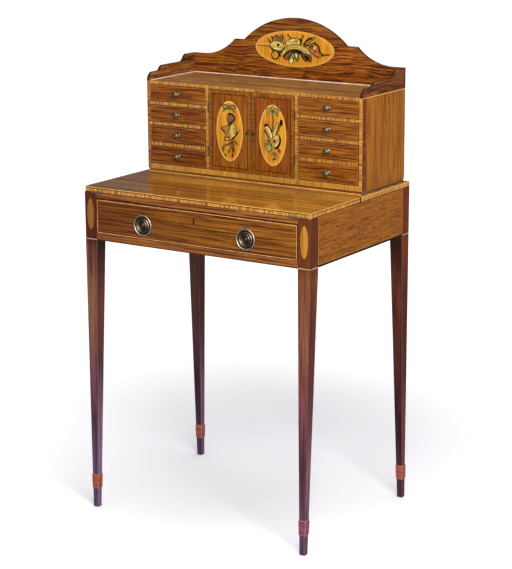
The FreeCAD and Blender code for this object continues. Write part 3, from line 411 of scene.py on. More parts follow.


# the legs' veneer turns from brown at the head to purple at the toe, a painted reflection of the floor, and is
# darker just under the apron with painted shade: tints of its ground by height in metres; each leg's share of
# them, in front and at its side, is painted light that darkens the back legs, then the tints of its head and,
# in painted shade, of the wood just below it
legPaintedLightTints = {
    "front": ((0.0, (0.54, 0.94, 1.18)), (0.05, (0.50, 0.82, 1.09)), (0.13, (0.42, 0.49, 0.62)),
              (0.20, (0.34, 0.37, 0.42)), (0.30, (0.60, 0.53, 0.48)), (0.40, (0.72, 0.70, 0.31)),
              (0.50, (0.93, 1.05, 0.33)), (0.62, (0.57, 0.55, 0.145))),
    "side": ((0.0, (0.98, 1.35, 1.50)), (0.13, (1.12, 1.62, 1.68)), (0.20, (1.13, 1.52, 1.26)),
             (0.30, (0.64, 0.68, 0.54)), (0.40, (0.60, 0.33, 0.19)), (0.50, (0.65, 0.39, 0.14)),
             (0.62, (1.10, 0.88, 0.092))),
    "head": 0.645,
}
legPaintedLightShares = {
    "front_left": {
        "front": (1.13, 1.40, 1.42), "frontHead": (0.33, 0.165, 0.020),
        "side": (0.92, 1.50, 1.74), "sideHead": (0.11, 0.083, 0.034), "sideTop": (0.11, 0.083, 0.034),
    },
    "front_right": {
        "front": (1.02, 1.06, 0.99), "frontHead": (0.58, 0.49, 0.030), "frontTop": (0.82, 0.86, 0.195),
        "side": (0.74, 0.92, 0.86), "sideHead": (0.75, 0.43, 0.018),
    },
    "back_left": {
        "front": (0.56, 0.67, 0.81), "frontHead": (0.54, 0.40, 0.020),
        "side": (0.70, 0.84, 0.94), "sideHead": (0.67, 0.43, 0.028),
    },
    "back_right": {
        "front": (0.50, 0.37, 0.31), "frontHead": (0.42, 0.50, 0.037), "frontTop": (0.21, 0.17, 0.074),
        "side": (0.66, 0.45, 0.27), "sideHead": (0.94, 0.80, 0.036), "sideTop": (1.12, 1.14, 0.092),
    },
}

# tints along an axis: the axis, its two ends in metres, and the tints by share of the way; the frieze, leaf,
# drawer and oval rows are painted light, lighter towards the soft box at the right, while the crest's darkens
# towards its top, the doors' turns bluer towards their foot and the blades' darkens to the right
lightAndToneRows = {
    "frieze": ("x", -0.27, 0.27,
               ((0.05, (0.61, 0.45, 0.57)), (0.45, (0.82, 0.76, 0.77)), (0.95, (1.06, 1.11, 1.09)))),
    "leaf": ("x", -0.30, 0.30,
             ((0.05, (0.74, 0.66, 0.68)), (0.50, (0.85, 0.82, 0.74)), (0.95, (1.05, 1.08, 1.16)))),
    "crest": ("z", 0.98, 1.122,
              ((0.0, (1.12, 1.08, 1.0)), (0.5, (1.02, 0.98, 1.0)), (0.85, (0.84, 0.90, 0.92)),
               (1.0, (0.78, 0.84, 0.86)))),
    "drawer": ("x", -0.29, 0.29, ((0.15, (0.93, 0.84, 0.97)), (0.85, (1.04, 1.07, 1.05)))),
    "door": ("z", 0.784, 0.972, ((0.05, (1.14, 1.18, 1.80)), (0.95, (0.91, 0.84, 0.50)))),
    "blade": ("x", -0.29, 0.29,
              ((0.0, (1.02, 1.04, 1.10)), (0.5, (1.0, 1.0, 1.0)), (1.0, (0.86, 0.78, 0.62)))),
    "oval": ("x", -0.30, 0.30, ((0.0, (0.72, 0.62, 0.70)), (1.0, (1.0, 1.0, 1.0)))),
}

# material name, grain, wood, ground and the place its noise starts from, then any tints
veneers = {
    "frieze": ("friezeRosewood", "x", "rosewood", "frieze", 0.0, lightAndToneRows["frieze"]),
    "rail": ("railRosewood", "x", "rosewood", "rail", 4.0),
    "rosewoodX": ("innerRosewoodAcross", "x", "rosewood", "inner", 7.5),
    "rosewoodZ": ("innerRosewoodUpright", "z", "rosewood", "inner", 11.0),
    "door_left": ("leftDoorRosewood", "z", "doorRosewood", "door", 12.0, lightAndToneRows["door"]),
    "door_right": ("rightDoorRosewood", "z", "doorRosewood", "rightDoor", 12.7, lightAndToneRows["door"]),
    "drawerX": ("drawerRosewood", "x", "streakedRosewood", "drawer", 2.0, lightAndToneRows["drawer"]),
    "crestX": ("crestRosewood", "x", "crestRosewood", "crest", 6.0, lightAndToneRows["crest"]),
    "galleryIn": ("galleryInnerRosewood", "y", "crestRosewood", "galleryInner", 8.0),
    "galleryOut": ("galleryOuterRosewood", "y", "streakedRosewood", "galleryOuter", 9.0),
    "topX": ("leafTopRosewood", "x", "topRosewood", "leafTop", 1.0, lightAndToneRows["leaf"]),
    "capX": ("cabinetTopRosewoodPaintedReflection", "x", "topRosewood", "cabinetTop", 14.0),
    "sideZ": ("cabinetSideRosewood", "z", "goldenRosewood", "side", 13.0),
    "apronY": ("sideApronRosewood", "y", "flecked", "apron", 17.0),
    "bandX": ("doorBandAcross", "x", "flecked", "doorBand", 5.0),
    "bandZ": ("doorBandUpright", "z", "flecked", "doorBand", 5.5),
    "bandY": ("sideBandDeep", "y", "flecked", "sideBand", 6.0),
    "plinthX": ("plinthRosewood", "x", "crossband", "plinth", 15.0),
    "satinX": ("satinwoodAcross", "x", "satinwood", "satin", 3.0),
    "satinZ": ("satinwoodUpright", "z", "satinwood", "satin", 4.5, lightAndToneRows["blade"]),
    "satinFoot": ("footSatinwood", "z", "ovalSatinwood", "satinFoot", 4.6),
    "leafEdge": ("leafEdgeSatinwood", "z", "satinwood", "leafEdge", 4.8),
    "stileOval": ("stileOvalSatinwood", "z", "ovalSatinwood", "stileOval", 5.1, lightAndToneRows["oval"]),
    "leftStile": ("leftStileShadedSatinwood", "x", "satinwood", "leftStile", 5.6),
    "oakX": ("oakAlong", "x", "oak", "oak", 1.5),
    "oakY": ("oakDeep", "y", "oak", "oak", 2.5),
    "oakZ": ("oakUpright", "z", "oak", "oak", 3.5),
    "collarX": ("collarAcross", "x", "crossband", "collar", 25.0),
    "collarRed": ("floorReflectionCollarAcross", "x", "crossband", "collarRed", 26.0),
    "darkEdge": ("darkenedEdge", "x", "crossband", "edge", 27.0, None, None, 0.1),
}
# material name, pale and deep tone, then gloss and shine where they are duller than usual
strings = {
    "boxwood": ("boxwoodString", (0.60, 0.33, 0.135), (0.38, 0.18, 0.065)),
    "goldString": ("goldenString", (0.36, 0.155, 0.035), (0.22, 0.085, 0.020)),
    "legString": ("legString", (0.150, 0.070, 0.035), (0.080, 0.034, 0.020)),
    "faintString": ("faintString", (0.38, 0.190, 0.085), (0.22, 0.095, 0.040)),
    # the gallery foot's bead is pale wood brightened to near white by a painted reflection
    "beadString": ("footBeadPaintedReflection", (0.90, 0.66, 0.52), (0.62, 0.40, 0.28)),
    "footString": ("footString", (0.50, 0.33, 0.24), (0.30, 0.17, 0.11)),
    "ebonised": ("ebonisedString", (0.036, 0.012, 0.003), (0.014, 0.005, 0.002), 0.0, 0.0),
    "worn": ("wornArris", (0.200, 0.075, 0.022), (0.090, 0.030, 0.012)),
    "wornDark": ("wornLegArris", (0.110, 0.042, 0.028), (0.050, 0.018, 0.014)),
    "darkArris": ("darkenedArris", (0.070, 0.024, 0.008), (0.026, 0.009, 0.003), 0.0, 0.02),
    "edgeLine": ("edgeLine", (0.090, 0.036, 0.008), (0.045, 0.016, 0.004), 0.0, 0.0),
    "wornPale": ("wornSatinArris", (0.52, 0.24, 0.055), (0.30, 0.12, 0.025)),
    # the collars' pale arris is wear with a painted highlight
    "wornCollar": ("wornAndHighlitCollarArris", (0.50, 0.25, 0.22), (0.34, 0.14, 0.12)),
    "scorched": ("scorchedWood", (0.018, 0.009, 0.004), (0.008, 0.004, 0.002), 0.0, 0.10),
    "paleRim": ("paleOvalRim", (0.66, 0.36, 0.080), (0.46, 0.21, 0.040)),
    "holly": ("hollyWood", (0.64, 0.50, 0.17), (0.44, 0.32, 0.08)),
    "yellowWood": ("yellowWood", (0.56, 0.40, 0.070), (0.36, 0.22, 0.025)),
    "greenWood": ("greenStainedWood", (0.16, 0.14, 0.035), (0.07, 0.060, 0.015)),
    "greyWood": ("greyGreenWood", (0.29, 0.24, 0.068), (0.14, 0.115, 0.030)),
    "brownWood": ("scorchedWalnut", (0.20, 0.092, 0.028), (0.09, 0.036, 0.011)),
    "russetWood": ("russetWood", (0.34, 0.165, 0.035), (0.20, 0.085, 0.018)),
    "redWood": ("redStainedWood", (0.22, 0.050, 0.014), (0.10, 0.020, 0.007)),
    "orangeWood": ("orangeStainedWood", (0.50, 0.150, 0.030), (0.30, 0.070, 0.015)),
}
# material name, bright and tarnished tone, and the roughness of each
brasses = {
    "brass": ("agedBrass", (0.74, 0.62, 0.48), (0.028, 0.019, 0.013), (0.44, 0.52)),
    "bronze": ("buttonBronze", (0.50, 0.29, 0.16), (0.120, 0.060, 0.030), (0.44, 0.54)),
    "knobBrass": ("knobBrass", (0.34, 0.28, 0.18), (0.050, 0.038, 0.022), (0.42, 0.55)),
    "darkBrass": ("darkBrass", (0.110, 0.085, 0.045), (0.030, 0.022, 0.013), (0.42, 0.58)),
    "hingeBrass": ("hingeBrass", (0.42, 0.36, 0.18), (0.130, 0.110, 0.052), (0.45, 0.62)),
    "iron": ("lockIron", (0.30, 0.27, 0.22), (0.060, 0.045, 0.035), (0.4, 0.6)),
}
finishes = {}
for make, table in ((woodFinish, veneers), (stringFinish, strings), (brassFinish, brasses)):
    finishes.update({key: make(*row) for key, row in table.items()})
for i, (corner, look) in enumerate(legPaintedLightShares.items()):
    for face in ("front", "side"):
        *stops, (top, tint) = legPaintedLightTints[face]
        stops += [(top, look.get(face + "Top", tint)), (legPaintedLightTints["head"], look[face + "Head"])]
        finishes[f"{corner}_{face}"] = woodFinish(
            f"{corner}_{face}Rosewood", "z", "legRosewood", "leg" + face.capitalize(), 21.0 + 2 * i,
            ("z", 0.0, 1.0, stops), share=look[face])
print("finishes ready,", len(finishes))

# how far an inlay stands proud and is let in, and what the leaf's front is kept clear by, in millimetres
inlay = {"proud": 0.12, "sunk": 0.35, "clear": 0.03}
# points nearer than weld metres are one; angles in degrees: faces that count as one, edges that are softened,
# and shading that breaks; facing is the share of a face's normal that makes it look along an axis
boards = {"weld": 2e-6, "flat": 0.8, "sharp": 35, "crease": 38, "facing": 0.9, "segments": 2}


# the carcass boards are copies of the solids, with softened arrises and a finish for each face
def solidsOf(node):
    # points of the loose triangles are matched by place, and triangles that share an edge share a label,
    # the lowest one spreading until nothing changes
    mesh = nodes[node].data
    points = np.zeros(len(mesh.vertices) * 3)
    mesh.vertices.foreach_get("co", points)
    mesh.calc_loop_triangles()
    corners = np.zeros(len(mesh.loop_triangles) * 3, int)
    mesh.loop_triangles.foreach_get("vertices", corners)
    keys = np.round(points.reshape(-1, 3) / boards["weld"]).astype(np.int64)
    first, same = np.unique(keys, axis=0, return_index=True, return_inverse=True)[1:]
    spots = points.reshape(-1, 3)[first]
    triangles = same.reshape(-1)[corners].reshape(-1, 3)
    triangles = triangles[(triangles != np.roll(triangles, 1, 1)).all(1)]
    edges = np.sort(np.concatenate([triangles[:, [0, 1]], triangles[:, [1, 2]], triangles[:, [2, 0]]]),
                    axis=1)
    edgeKeys, edgeOf = np.unique(edges, axis=0, return_inverse=True)
    edgeOf = edgeOf.reshape(-1)
    owner = np.tile(np.arange(len(triangles)), 3)
    label = np.arange(len(triangles))
    while True:
        lowest = np.full(len(edgeKeys), len(triangles))
        np.minimum.at(lowest, edgeOf, label[owner])
        spread = label.copy()
        np.minimum.at(spread, owner, lowest[edgeOf])
        if (spread == label).all():
            break
        label = spread
    return [(spots, triangles[label == mark]) for mark in np.unique(label)]


def sideOf(normal):
    # the axis that a face looks along, such as "-y", or "" for a sloping face
    spot = int(np.argmax(np.abs(normal)))
    return ("-" if normal[spot] < 0 else "+") + "xyz"[spot] if abs(normal[spot]) > boards["facing"] else ""


def longAxis(spots):
    # the axis along which a board is longest
    return "XYZ"[int(np.argmax(np.ptp(spots, axis=0)))]


def standFor(piece, body, slotName, *replaced):
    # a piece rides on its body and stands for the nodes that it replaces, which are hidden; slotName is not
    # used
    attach(piece, body)
    if replaced:
        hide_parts(*replaced)
    return piece


def easedBoards(node, slotName, faces, worn="worn", ease=0.5, shortest=2.5, plain=None, shave=0.0):
    # faces gives a finish for each side a face looks to, or is a function that gives such a list for a
    # solid's middle; plain names the wood of faces that it leaves out, whose grain then runs along the board;
    # edges longer than shortest are softened, and the front is shaved to let its strings in
    build = bmesh.new()
    used = [worn]
    half = cadBounds[1][0] - inlay["proud"] * mm
    for solidSpots, triangles in solidsOf(node):
        marks, local = np.unique(triangles, return_inverse=True)
        spots = solidSpots[marks]
        plainFinish = plain + longAxis(spots) if plain else None
        foremost = spots[:, 1].min() + shave * mm
        spots = np.column_stack([np.clip(spots[:, 0], -half, half), np.maximum(spots[:, 1], foremost),
                                 spots[:, 2]])
        chosen = faces(spots.mean(0)) if callable(faces) else faces
        corners = [build.verts.new(spot) for spot in spots]
        fresh = [build.faces.new([corners[i] for i in triangle]) for triangle in local.reshape(-1, 3)]
        bmesh.ops.dissolve_limit(build, angle_limit=math.radians(boards["flat"]), verts=corners,
                                 edges=list({edge for face in fresh for edge in face.edges}))
        for face in build.faces:
            if face.material_index == 0 and not face.smooth:
                face.normal_update()
                name = chosen.get(sideOf(face.normal), chosen.get("", plainFinish))
                if name not in used:
                    used.append(name)
                face.material_index = used.index(name)
                face.smooth = True
    weight = build.edges.layers.float.new("bevel_weight_edge")
    for edge in build.edges:
        sharp = edge.is_manifold and edge.calc_face_angle(0) > math.radians(boards["sharp"])
        edge.smooth = not sharp
        if sharp and edge.calc_length() > shortest * mm:
            edge[weight] = 1.0
    mesh = bpy.data.meshes.new(node + "Boards")
    build.to_mesh(mesh)
    build.free()
    piece = bpy.data.objects.new(node + "Boards", mesh)
    bpy.context.scene.collection.objects.link(piece)
    for name in used:
        mesh.materials.append(finishes[name])
    bevel = piece.modifiers.new("easedArris", "BEVEL")
    bevel.width = ease * mm
    bevel.segments = boards["segments"]
    bevel.limit_method = "WEIGHT"
    bevel.harden_normals = True
    bevel.material = 0
    return standFor(piece, bodyOf[node], slotName, node)


for corner in legPaintedLightShares:
    across = corner + "_side"
    # the front left leg's inner side carries the darkest painted shade, and its outer one is as the right
    # leg's
    outer = across.replace("front_left", "front_right")
    easedBoards("leg_" + corner, "leg_rosewood", {"": corner + "_front", "-x": outer, "+x": across},
                "wornDark", 0.6)
# the front right collar's purple-red is a painted floor reflection, and each collar's pale arris is wear with
# a painted highlight
easedBoards("leg_collars", "collar_wood",
            lambda place: {"": "collarRed" if place[1] < 0 < place[0] else "collarX"}, "wornCollar", 0.8)
for name in ("apron_left", "apron_right"):
    easedBoards(name, "rosewood", {"": "apronY"})
easedBoards("drawer_rail_bottom", "rosewood", {"": "rail"})
easedBoards("drawer_rail_top", "rosewood", {"": "rail"}, shortest=5)
topFaces = {"": "topX", **dict.fromkeys(("-x", "+x", "-y", "+y"), "leafEdge")}
easedBoards("writing_leaf", "rosewood", topFaces, "goldString", shortest=0.4,
            shave=inlay["proud"] + inlay["clear"])
easedBoards("rear_top", "rosewood", topFaces, "goldString")
easedBoards("frieze_drawer_front", "rosewood", {"": "frieze"}, shortest=5)
easedBoards("cabinet_plinth", "rosewood", {"": "plinthX"})
easedBoards("cabinet_bottom", "satinwood", {"": "rosewoodX", "-y": "satinFoot"}, "wornPale", 0.4)
easedBoards("cabinet_top", "satinwood", {"": "rosewoodX", "+z": "capX", "-y": "satinZ"}, "wornPale", 0.4)
easedBoards("cabinet_partitions", "satinwood", {"": "rosewoodZ", "-y": "satinX"}, "wornPale", 0.4, shortest=5)
easedBoards("drawer_dividers", "satinwood", {"": "oakY", "-y": "satinZ"}, "wornPale", 0.4)
# the left cabinet side's front stile takes a darker satinwood, painted shade
stileFinish = ("leftStile", "satinX")
easedBoards("cabinet_sides", "rosewood",
            lambda place: {"": "sideZ", "-y": stileFinish[place[0] > 0]}, "wornPale")
cheeks = ("galleryIn", "galleryOut")
easedBoards("gallery_sides", "rosewood",
            lambda place: {"": "darkEdge", "+x": cheeks[place[0] > 0], "-x": cheeks[place[0] < 0]},
            "darkArris", 0.8, shortest=0.4)
easedBoards("gallery_back", "rosewood", {"": "darkEdge", "-y": "crestX", "+y": "crestX"},
            "darkArris", 1.5, shortest=0.6)
for side in ("left", "right"):
    for row in "123":
        easedBoards(f"small_drawer_{side}_{row}", "drawer_wood", {"-y": "drawerX"}, plain="oak", ease=0.4)
    easedBoards("mock_blade_" + side, "satinwood", {"": "satinZ"}, "wornPale", 0.2)
    easedBoards("door_" + side, "rosewood", {"": "door_" + side}, shortest=5)
print("carcass boards eased")

# the solids that stay as they are, by finish
carriedOver = {
    "oakX": ("apron_back", "bed_panel", "cabinet_shelf", "frieze_drawer_bottom"),
    "oakY": ("drawer_runners", "frieze_drawer_linings"),
    "oakZ": ("cabinet_back",),
    "rosewoodZ": ("door_closing_bead",),
    "hingeBrass": ("leaf_hinge_plates", "leaf_hinge_straps", "frieze_lock", "door_lock"),
    "darkBrass": ("door_hinge_plates", "door_hinge_leaves_left", "door_hinge_leaves_right"),
    "iron": ("frieze_lock_bolt", "door_lock_bolt"),
}
for finish, members in carriedOver.items():
    for node in members:
        nodes[node].data.materials.clear()
        nodes[node].data.materials.append(finishes[finish])


# prisms, strips carried along a path, and turnings are drawn on a plane, in millimetres
def planeAt(origin, across, up):
    # a drawing plane: its axes and the way it faces
    across, up = np.array(across, float), np.array(up, float)
    return np.array(origin, float), across, up, np.cross(across, up)


def onPlane(plane, points, heights=0.0):
    # points in millimetres along the plane's axes, heights in millimetres out of it
    origin, across, up, out = plane
    points = np.asarray(points, float) * mm
    heights = np.broadcast_to(np.asarray(heights, float), points.shape[:1]) * mm
    return origin + points[:, :1] * across + points[:, 1:2] * up + heights[:, None] * out


def grid(rows, columns, wrapRows=False, wrapColumns=False):
    # quads of a grid of points numbered row by row
    r = np.arange(rows if wrapRows else rows - 1)[:, None]
    c = np.arange(columns if wrapColumns else columns - 1)[None, :]
    nextRow, nextColumn = (r + 1) % rows, (c + 1) % columns
    quads = [r * columns + c, nextRow * columns + c, nextRow * columns + nextColumn, r * columns + nextColumn]
    return np.stack([np.broadcast_to(q, np.broadcast(r, c).shape) for q in quads], -1).reshape(-1, 4).tolist()


def prism(plane, outline, low=None, high=None):
    # an outline's points at two heights, walls between them and a cap on each
    low = -inlay["sunk"] if low is None else low
    high = inlay["proud"] if high is None else high
    outline = np.asarray(outline, float)
    following = np.roll(outline, -1, 0)
    if (outline[:, 0] * following[:, 1] - following[:, 0] * outline[:, 1]).sum() < 0:
        outline = outline[::-1]
    count = len(outline)
    spots = np.concatenate([onPlane(plane, outline, low), onPlane(plane, outline, high)])
    i = np.arange(count)
    j = (i + 1) % count
    walls = np.column_stack([i, j, j + count, i + count]).tolist()
    return spots, walls + [i[::-1].tolist(), (i + count).tolist()]


def carried(plane, path, profile, closed=False, swell=None):
    # a profile (sideways, outwards) carried along a path in the plane; sideways is to the right of the way
    # ahead, and lengthened at a corner by one over one plus the cosine between the two sides' normals
    path, profile = np.asarray(path, float), np.asarray(profile, float)
    ahead = np.roll(path, -1, 0) - path
    ahead /= np.linalg.norm(ahead, axis=1, keepdims=True)
    if not closed:
        ahead[-1] = ahead[-2]
    behind = np.roll(ahead, 1, 0)
    if not closed:
        behind[0] = ahead[0]
    sides = [np.column_stack([way[:, 1], -way[:, 0]]) for way in (behind, ahead)]
    mitre = (sides[0] + sides[1]) / (1 + (sides[0] * sides[1]).sum(1, keepdims=True))
    size = np.ones(len(path)) if swell is None else np.asarray(swell, float)
    across = path[:, None, :] + (size[:, None] * profile[None, :, 0])[..., None] * mitre[:, None, :]
    heights = size[:, None] * profile[None, :, 1]
    spots = onPlane(plane, across.reshape(-1, 2), heights.reshape(-1))
    count = len(profile)
    faces = grid(len(path), count, closed, True)
    if not closed:
        faces += [list(range(count)), list(range((len(path) - 1) * count, len(path) * count))[::-1]]
    return spots, faces


def flatStrip(width, low=None, high=None):
    # a strip's section: half its width to each side, from low to high
    low = -inlay["sunk"] if low is None else low
    high = inlay["proud"] if high is None else high
    return [(-width / 2, low), (width / 2, low), (width / 2, high), (-width / 2, high)]


def rectangle(left, right, low, high, inset=0.0):
    # four corners, each drawn in by inset both ways
    left, right, low, high = left + inset, right - inset, low + inset, high - inset
    return [(left, low), (right, low), (right, high), (left, high)]


def smoothed(points, steps, closed=True):
    # a curve through the points: a cubic over each span, whose slope at a point is half the run between the
    # point's neighbours
    points = np.asarray(points, float)
    if closed:
        before, after, beyond = np.roll(points, 1, 0), np.roll(points, -1, 0), np.roll(points, -2, 0)
        here = points
    else:
        padded = np.concatenate([2 * points[:1] - points[1:2], points, 2 * points[-1:] - points[-2:-1]])
        before, here, after, beyond = padded[:-3], padded[1:-2], padded[2:-1], padded[3:]
    t = (np.arange(steps) / steps)[None, :, None]
    before, here, after, beyond = (spots[:, None, :] for spots in (before, here, after, beyond))
    curve = 0.5 * (2 * here + (after - before) * t + (2 * before - 5 * here + 4 * after - beyond) * t ** 2
                   + (3 * here - before - 3 * after + beyond) * t ** 3)
    curve = curve.reshape(-1, points.shape[1])
    return curve if closed else np.concatenate([curve, points[-1:]])


def oval(middle, halves, turn=0.0, count=64):
    # half the width times an angle's cosine and half the height times its sine, turned about the middle
    angle = np.linspace(0, 2 * math.pi, count, endpoint=False)
    flat = np.column_stack([halves[0] * np.cos(angle), halves[1] * np.sin(angle)])
    turn = math.radians(turn)
    return flat @ np.array([[math.cos(turn), math.sin(turn)], [-math.sin(turn), math.cos(turn)]]) + middle


def turned(plane, profile, segments=48):
    # a profile of radius, height and hollow spun round the plane's way out: it starts and ends on the axis
    profile = np.asarray(profile, float)
    angle = np.linspace(0, 2 * math.pi, segments, endpoint=False)
    rings = profile[1:-1]
    flat = rings[:, :1, None] * np.stack([np.cos(angle), np.sin(angle)])[None]
    spots = onPlane(plane, np.concatenate([[(0, 0)], flat.transpose(0, 2, 1).reshape(-1, 2), [(0, 0)]]),
                    np.concatenate([profile[:1, 1], np.repeat(rings[:, 1], segments), profile[-1:, 1]]))
    hollow = np.concatenate([profile[:1, 2], np.repeat(rings[:, 2], segments), profile[-1:, 2]])
    j = np.arange(segments)
    k = (j + 1) % segments
    walls = np.array(grid(len(rings), segments, False, True))[:, [0, 3, 2, 1]] + 1
    last = 1 + (len(rings) - 1) * segments
    tip = len(spots) - 1
    first = np.column_stack([np.zeros(segments, int), 1 + k, 1 + j])
    final = np.column_stack([last + j, last + k, np.full(segments, tip)])
    return spots, walls.tolist() + first.tolist() + final.tolist(), hollow


def makePiece(name, parts, body, slotName, replaced=(), smooth=False):
    # parts are (points, faces, finish) or (points, faces, hollow, finish); each keeps its own finish
    spots, faces, marks, used, hollows = [], [], [], [], []
    start = 0
    for part in parts:
        if part[-1] not in used:
            used.append(part[-1])
        spots.append(part[0])
        faces += [[start + i for i in face] for face in part[1]]
        marks += [used.index(part[-1])] * len(part[1])
        hollows.append(part[2] if len(part) == 4 else np.zeros(len(part[0])))
        start += len(part[0])
    mesh = bpy.data.meshes.new(name)
    mesh.from_pydata(np.concatenate(spots).tolist(), [], faces)
    mesh.polygons.foreach_set("material_index", marks)
    for finish in used:
        mesh.materials.append(finishes[finish])
    recess = mesh.attributes.new("recess", "FLOAT", "POINT")
    recess.data.foreach_set("value", np.concatenate(hollows).astype(np.float32))
    if smooth:
        mesh.shade_smooth()
        mesh.set_sharp_from_angle(angle=math.radians(boards["crease"]))
    mesh.update()
    piece = bpy.data.objects.new(name, mesh)
    bpy.context.scene.collection.objects.link(piece)
    return standFor(piece, body, slotName, *replaced)


def boxOf(node):
    # a node's lowest and highest corners in millimetres
    return tuple(np.array(corner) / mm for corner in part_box(node))


def frontWall(y):
    # a drawing plane that faces the sitter, y in metres
    return planeAt((0, y, 0), (1, 0, 0), (0, 0, 1))


def sideWall(side, x):
    # a drawing plane on the left (-1) or the right (1), x in millimetres, drawn in y times the side's sign
    return planeAt((side * x * mm, 0, 0), (0, side, 0), (0, 0, 1))


def plan(z=0.0):
    # a drawing plane that faces up, z in millimetres
    return planeAt((0, 0, z * mm), (1, 0, 0), (0, 1, 0))


def sideStrip(side, x, near, far, low, high, proud=None):
    # a strip let into a side, between two depths and two heights
    return prism(sideWall(side, x), rectangle(*sorted((side * near, side * far)), low, high), high=proud)


def bandProfile(low, high):
    # a band's section between two heights, a hair proud of the wood
    return [(-inlay["sunk"], low), (inlay["proud"], low), (inlay["proud"], high), (-inlay["sunk"], high)]


def outlineOf(node, inset=0.0):
    # the outline of a board's front, drawn in by inset
    low, high = boxOf(node)
    return rectangle(low[0], high[0], low[2], high[2], inset)


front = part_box("frieze_drawer_front")[0].y
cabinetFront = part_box("cabinet_bottom")[0].y
frontPlane = frontWall(front)
cabinetPlane = frontWall(cabinetFront)

# the strings round the edge of the leaf and the rear top: their heights, and the round of a corner
edging = {"stringHigh": 1.5, "lineHigh": 2.2, "footHigh": 1.6, "corner": 6.0, "cornerSteps": 9, "seam": 6.0,
          "hair": 0.05, "seamGap": 0.1}


def stringEdges():
    # the leaf's strings run from its back left round both front corners to its back right: each corner is a
    # quarter circle; the rear top's run along its two ends
    low, high = boxOf("writing_leaf")
    radius = edging["corner"]
    left, right = low[0] + inlay["proud"], high[0] - inlay["proud"]
    fore = low[1] + inlay["proud"] + inlay["clear"]
    angle = np.linspace(0, math.pi / 2, edging["cornerSteps"])
    leftTurn = np.column_stack([left + radius - radius * np.cos(angle),
                                fore + radius - radius * np.sin(angle)])
    rightTurn = np.column_stack([right - radius + radius * np.sin(angle),
                                 fore + radius - radius * np.cos(angle)])
    path = np.concatenate([[(left, high[1])], leftTurn, rightTurn, [(right, high[1])]])
    line = high[2] - edging["stringHigh"]
    string = (line, high[2] - edging["hair"], "paleRim")
    darkLine = (line - edging["lineHigh"], line, "edgeLine")
    # a dark strip along the foot of each edge, a painted shadow under its band
    foot = (low[2] + edging["hair"], low[2] + edging["footHigh"], "edgeLine")
    parts = [(*carried(plan(), path, bandProfile(*level)), finish)
             for *level, finish in (string, darkLine, foot)]
    for side in (-1, 1):
        # a dark strip at the seam between the leaf and the rear top
        seam = sideStrip(side, high[0] - inlay["proud"], high[1] - edging["seam"], high[1],
                         low[2] + edging["seamGap"], high[2] - edging["seamGap"])
        parts.append((*seam, "edgeLine"))
    makePiece("leafEdgeStrings", parts, "leaf", "satinwood")
    low, high = boxOf("rear_top")
    left, right = low[0] + inlay["proud"], high[0] - inlay["proud"]
    runs = [(left, high[1]), (left, low[1])], [(right, low[1]), (right, high[1])]
    parts = [(*carried(plan(), run, bandProfile(*level)), finish)
             for run in runs for *level, finish in (string, foot)]
    makePiece("rearTopEdgeStrings", parts, "table", "satinwood")


stringEdges()
print("top strung")


# strings and bands let into the boards
def edgedFront(plane, node, look):
    # a dark line on a front's outline and a pale string just inside it
    dark = outlineOf(node, look["darkWidth"] / 2)
    pale = outlineOf(node, look["darkWidth"] + look["paleWidth"] / 2)
    return [(*carried(plane, dark, flatStrip(look["darkWidth"]), True), "ebonised"),
            (*carried(plane, pale, flatStrip(look["paleWidth"]), True), look["pale"])]


def crossbanded(plane, outer, inner):
    # four mitred lengths of banding between two rectangles, the grain across each
    parts = []
    for i, finish in enumerate(("bandZ", "bandX") * 2):
        j = (i + 1) % 4
        parts.append((*prism(plane, [outer[i], outer[j], inner[j], inner[i]],
                             high=doorLook["bandProud"]), finish))
    return parts


def keyLining(plane, x, z):
    # a blackened thread round a keyhole: the head's arc, then down one side of the slot and up the other
    radius, slot = keyLook["radius"], keyLook["slot"]
    gap = math.asin(slot / 2 / radius)
    angle = np.linspace(-math.pi / 2 + gap, 1.5 * math.pi - gap, keyLook["steps"])
    arc = np.column_stack([x + radius * np.cos(angle), z + radius * np.sin(angle)])
    foot = z - keyLook["drop"]
    path = np.concatenate([arc, [(x - slot / 2, foot), (x + slot / 2, foot)]])
    (outer, inner), deep = keyLook["thread"], keyLook["deep"]
    thread = [(outer, -deep), (inner, -deep), (inner, inlay["proud"]), (outer, inlay["proud"])]
    return [(*carried(plane, path, thread, True), "scorched")]


friezeLook = {
    "darkWidth": 1.3, "paleWidth": 1.2, "pale": "boxwood", "joint": 1.0,
    # heights over the frieze's foot, and over that of the rail above the drawer; the ebonised band along the
    # aprons' foot and the dark band in the gap over the drawer are painted shadows
    "levels": {"footString": (0.3, 1.9), "ebonised": (0.1, 5.0), "faintString": (5.0, 5.7),
               "darkArris": (0.1, 2.6)},
    "gap": (0.1, 2.0), "flush": 0.02,
}
smallLook = {"darkWidth": 1.5, "paleWidth": 1.0, "pale": "goldString"}
doorLook = {"darkWidth": 1.3, "paleWidth": 0.8, "pale": "goldString", "band": 7.0, "bandProud": 0.072,
            "innerLine": 1.5}
keyLook = {"radius": 2.2, "slot": 2.4, "drop": 10.0, "thread": (-0.02, 0.75), "deep": 0.8, "steps": 25,
           "frieze": (0.0, 720.1), "door": (6.0, 868.0)}

parts = edgedFront(frontPlane, "frieze_drawer_front", friezeLook) + keyLining(frontPlane, *keyLook["frieze"])
makePiece("friezeDrawerStrings", parts, "frieze_drawer", "satinwood")


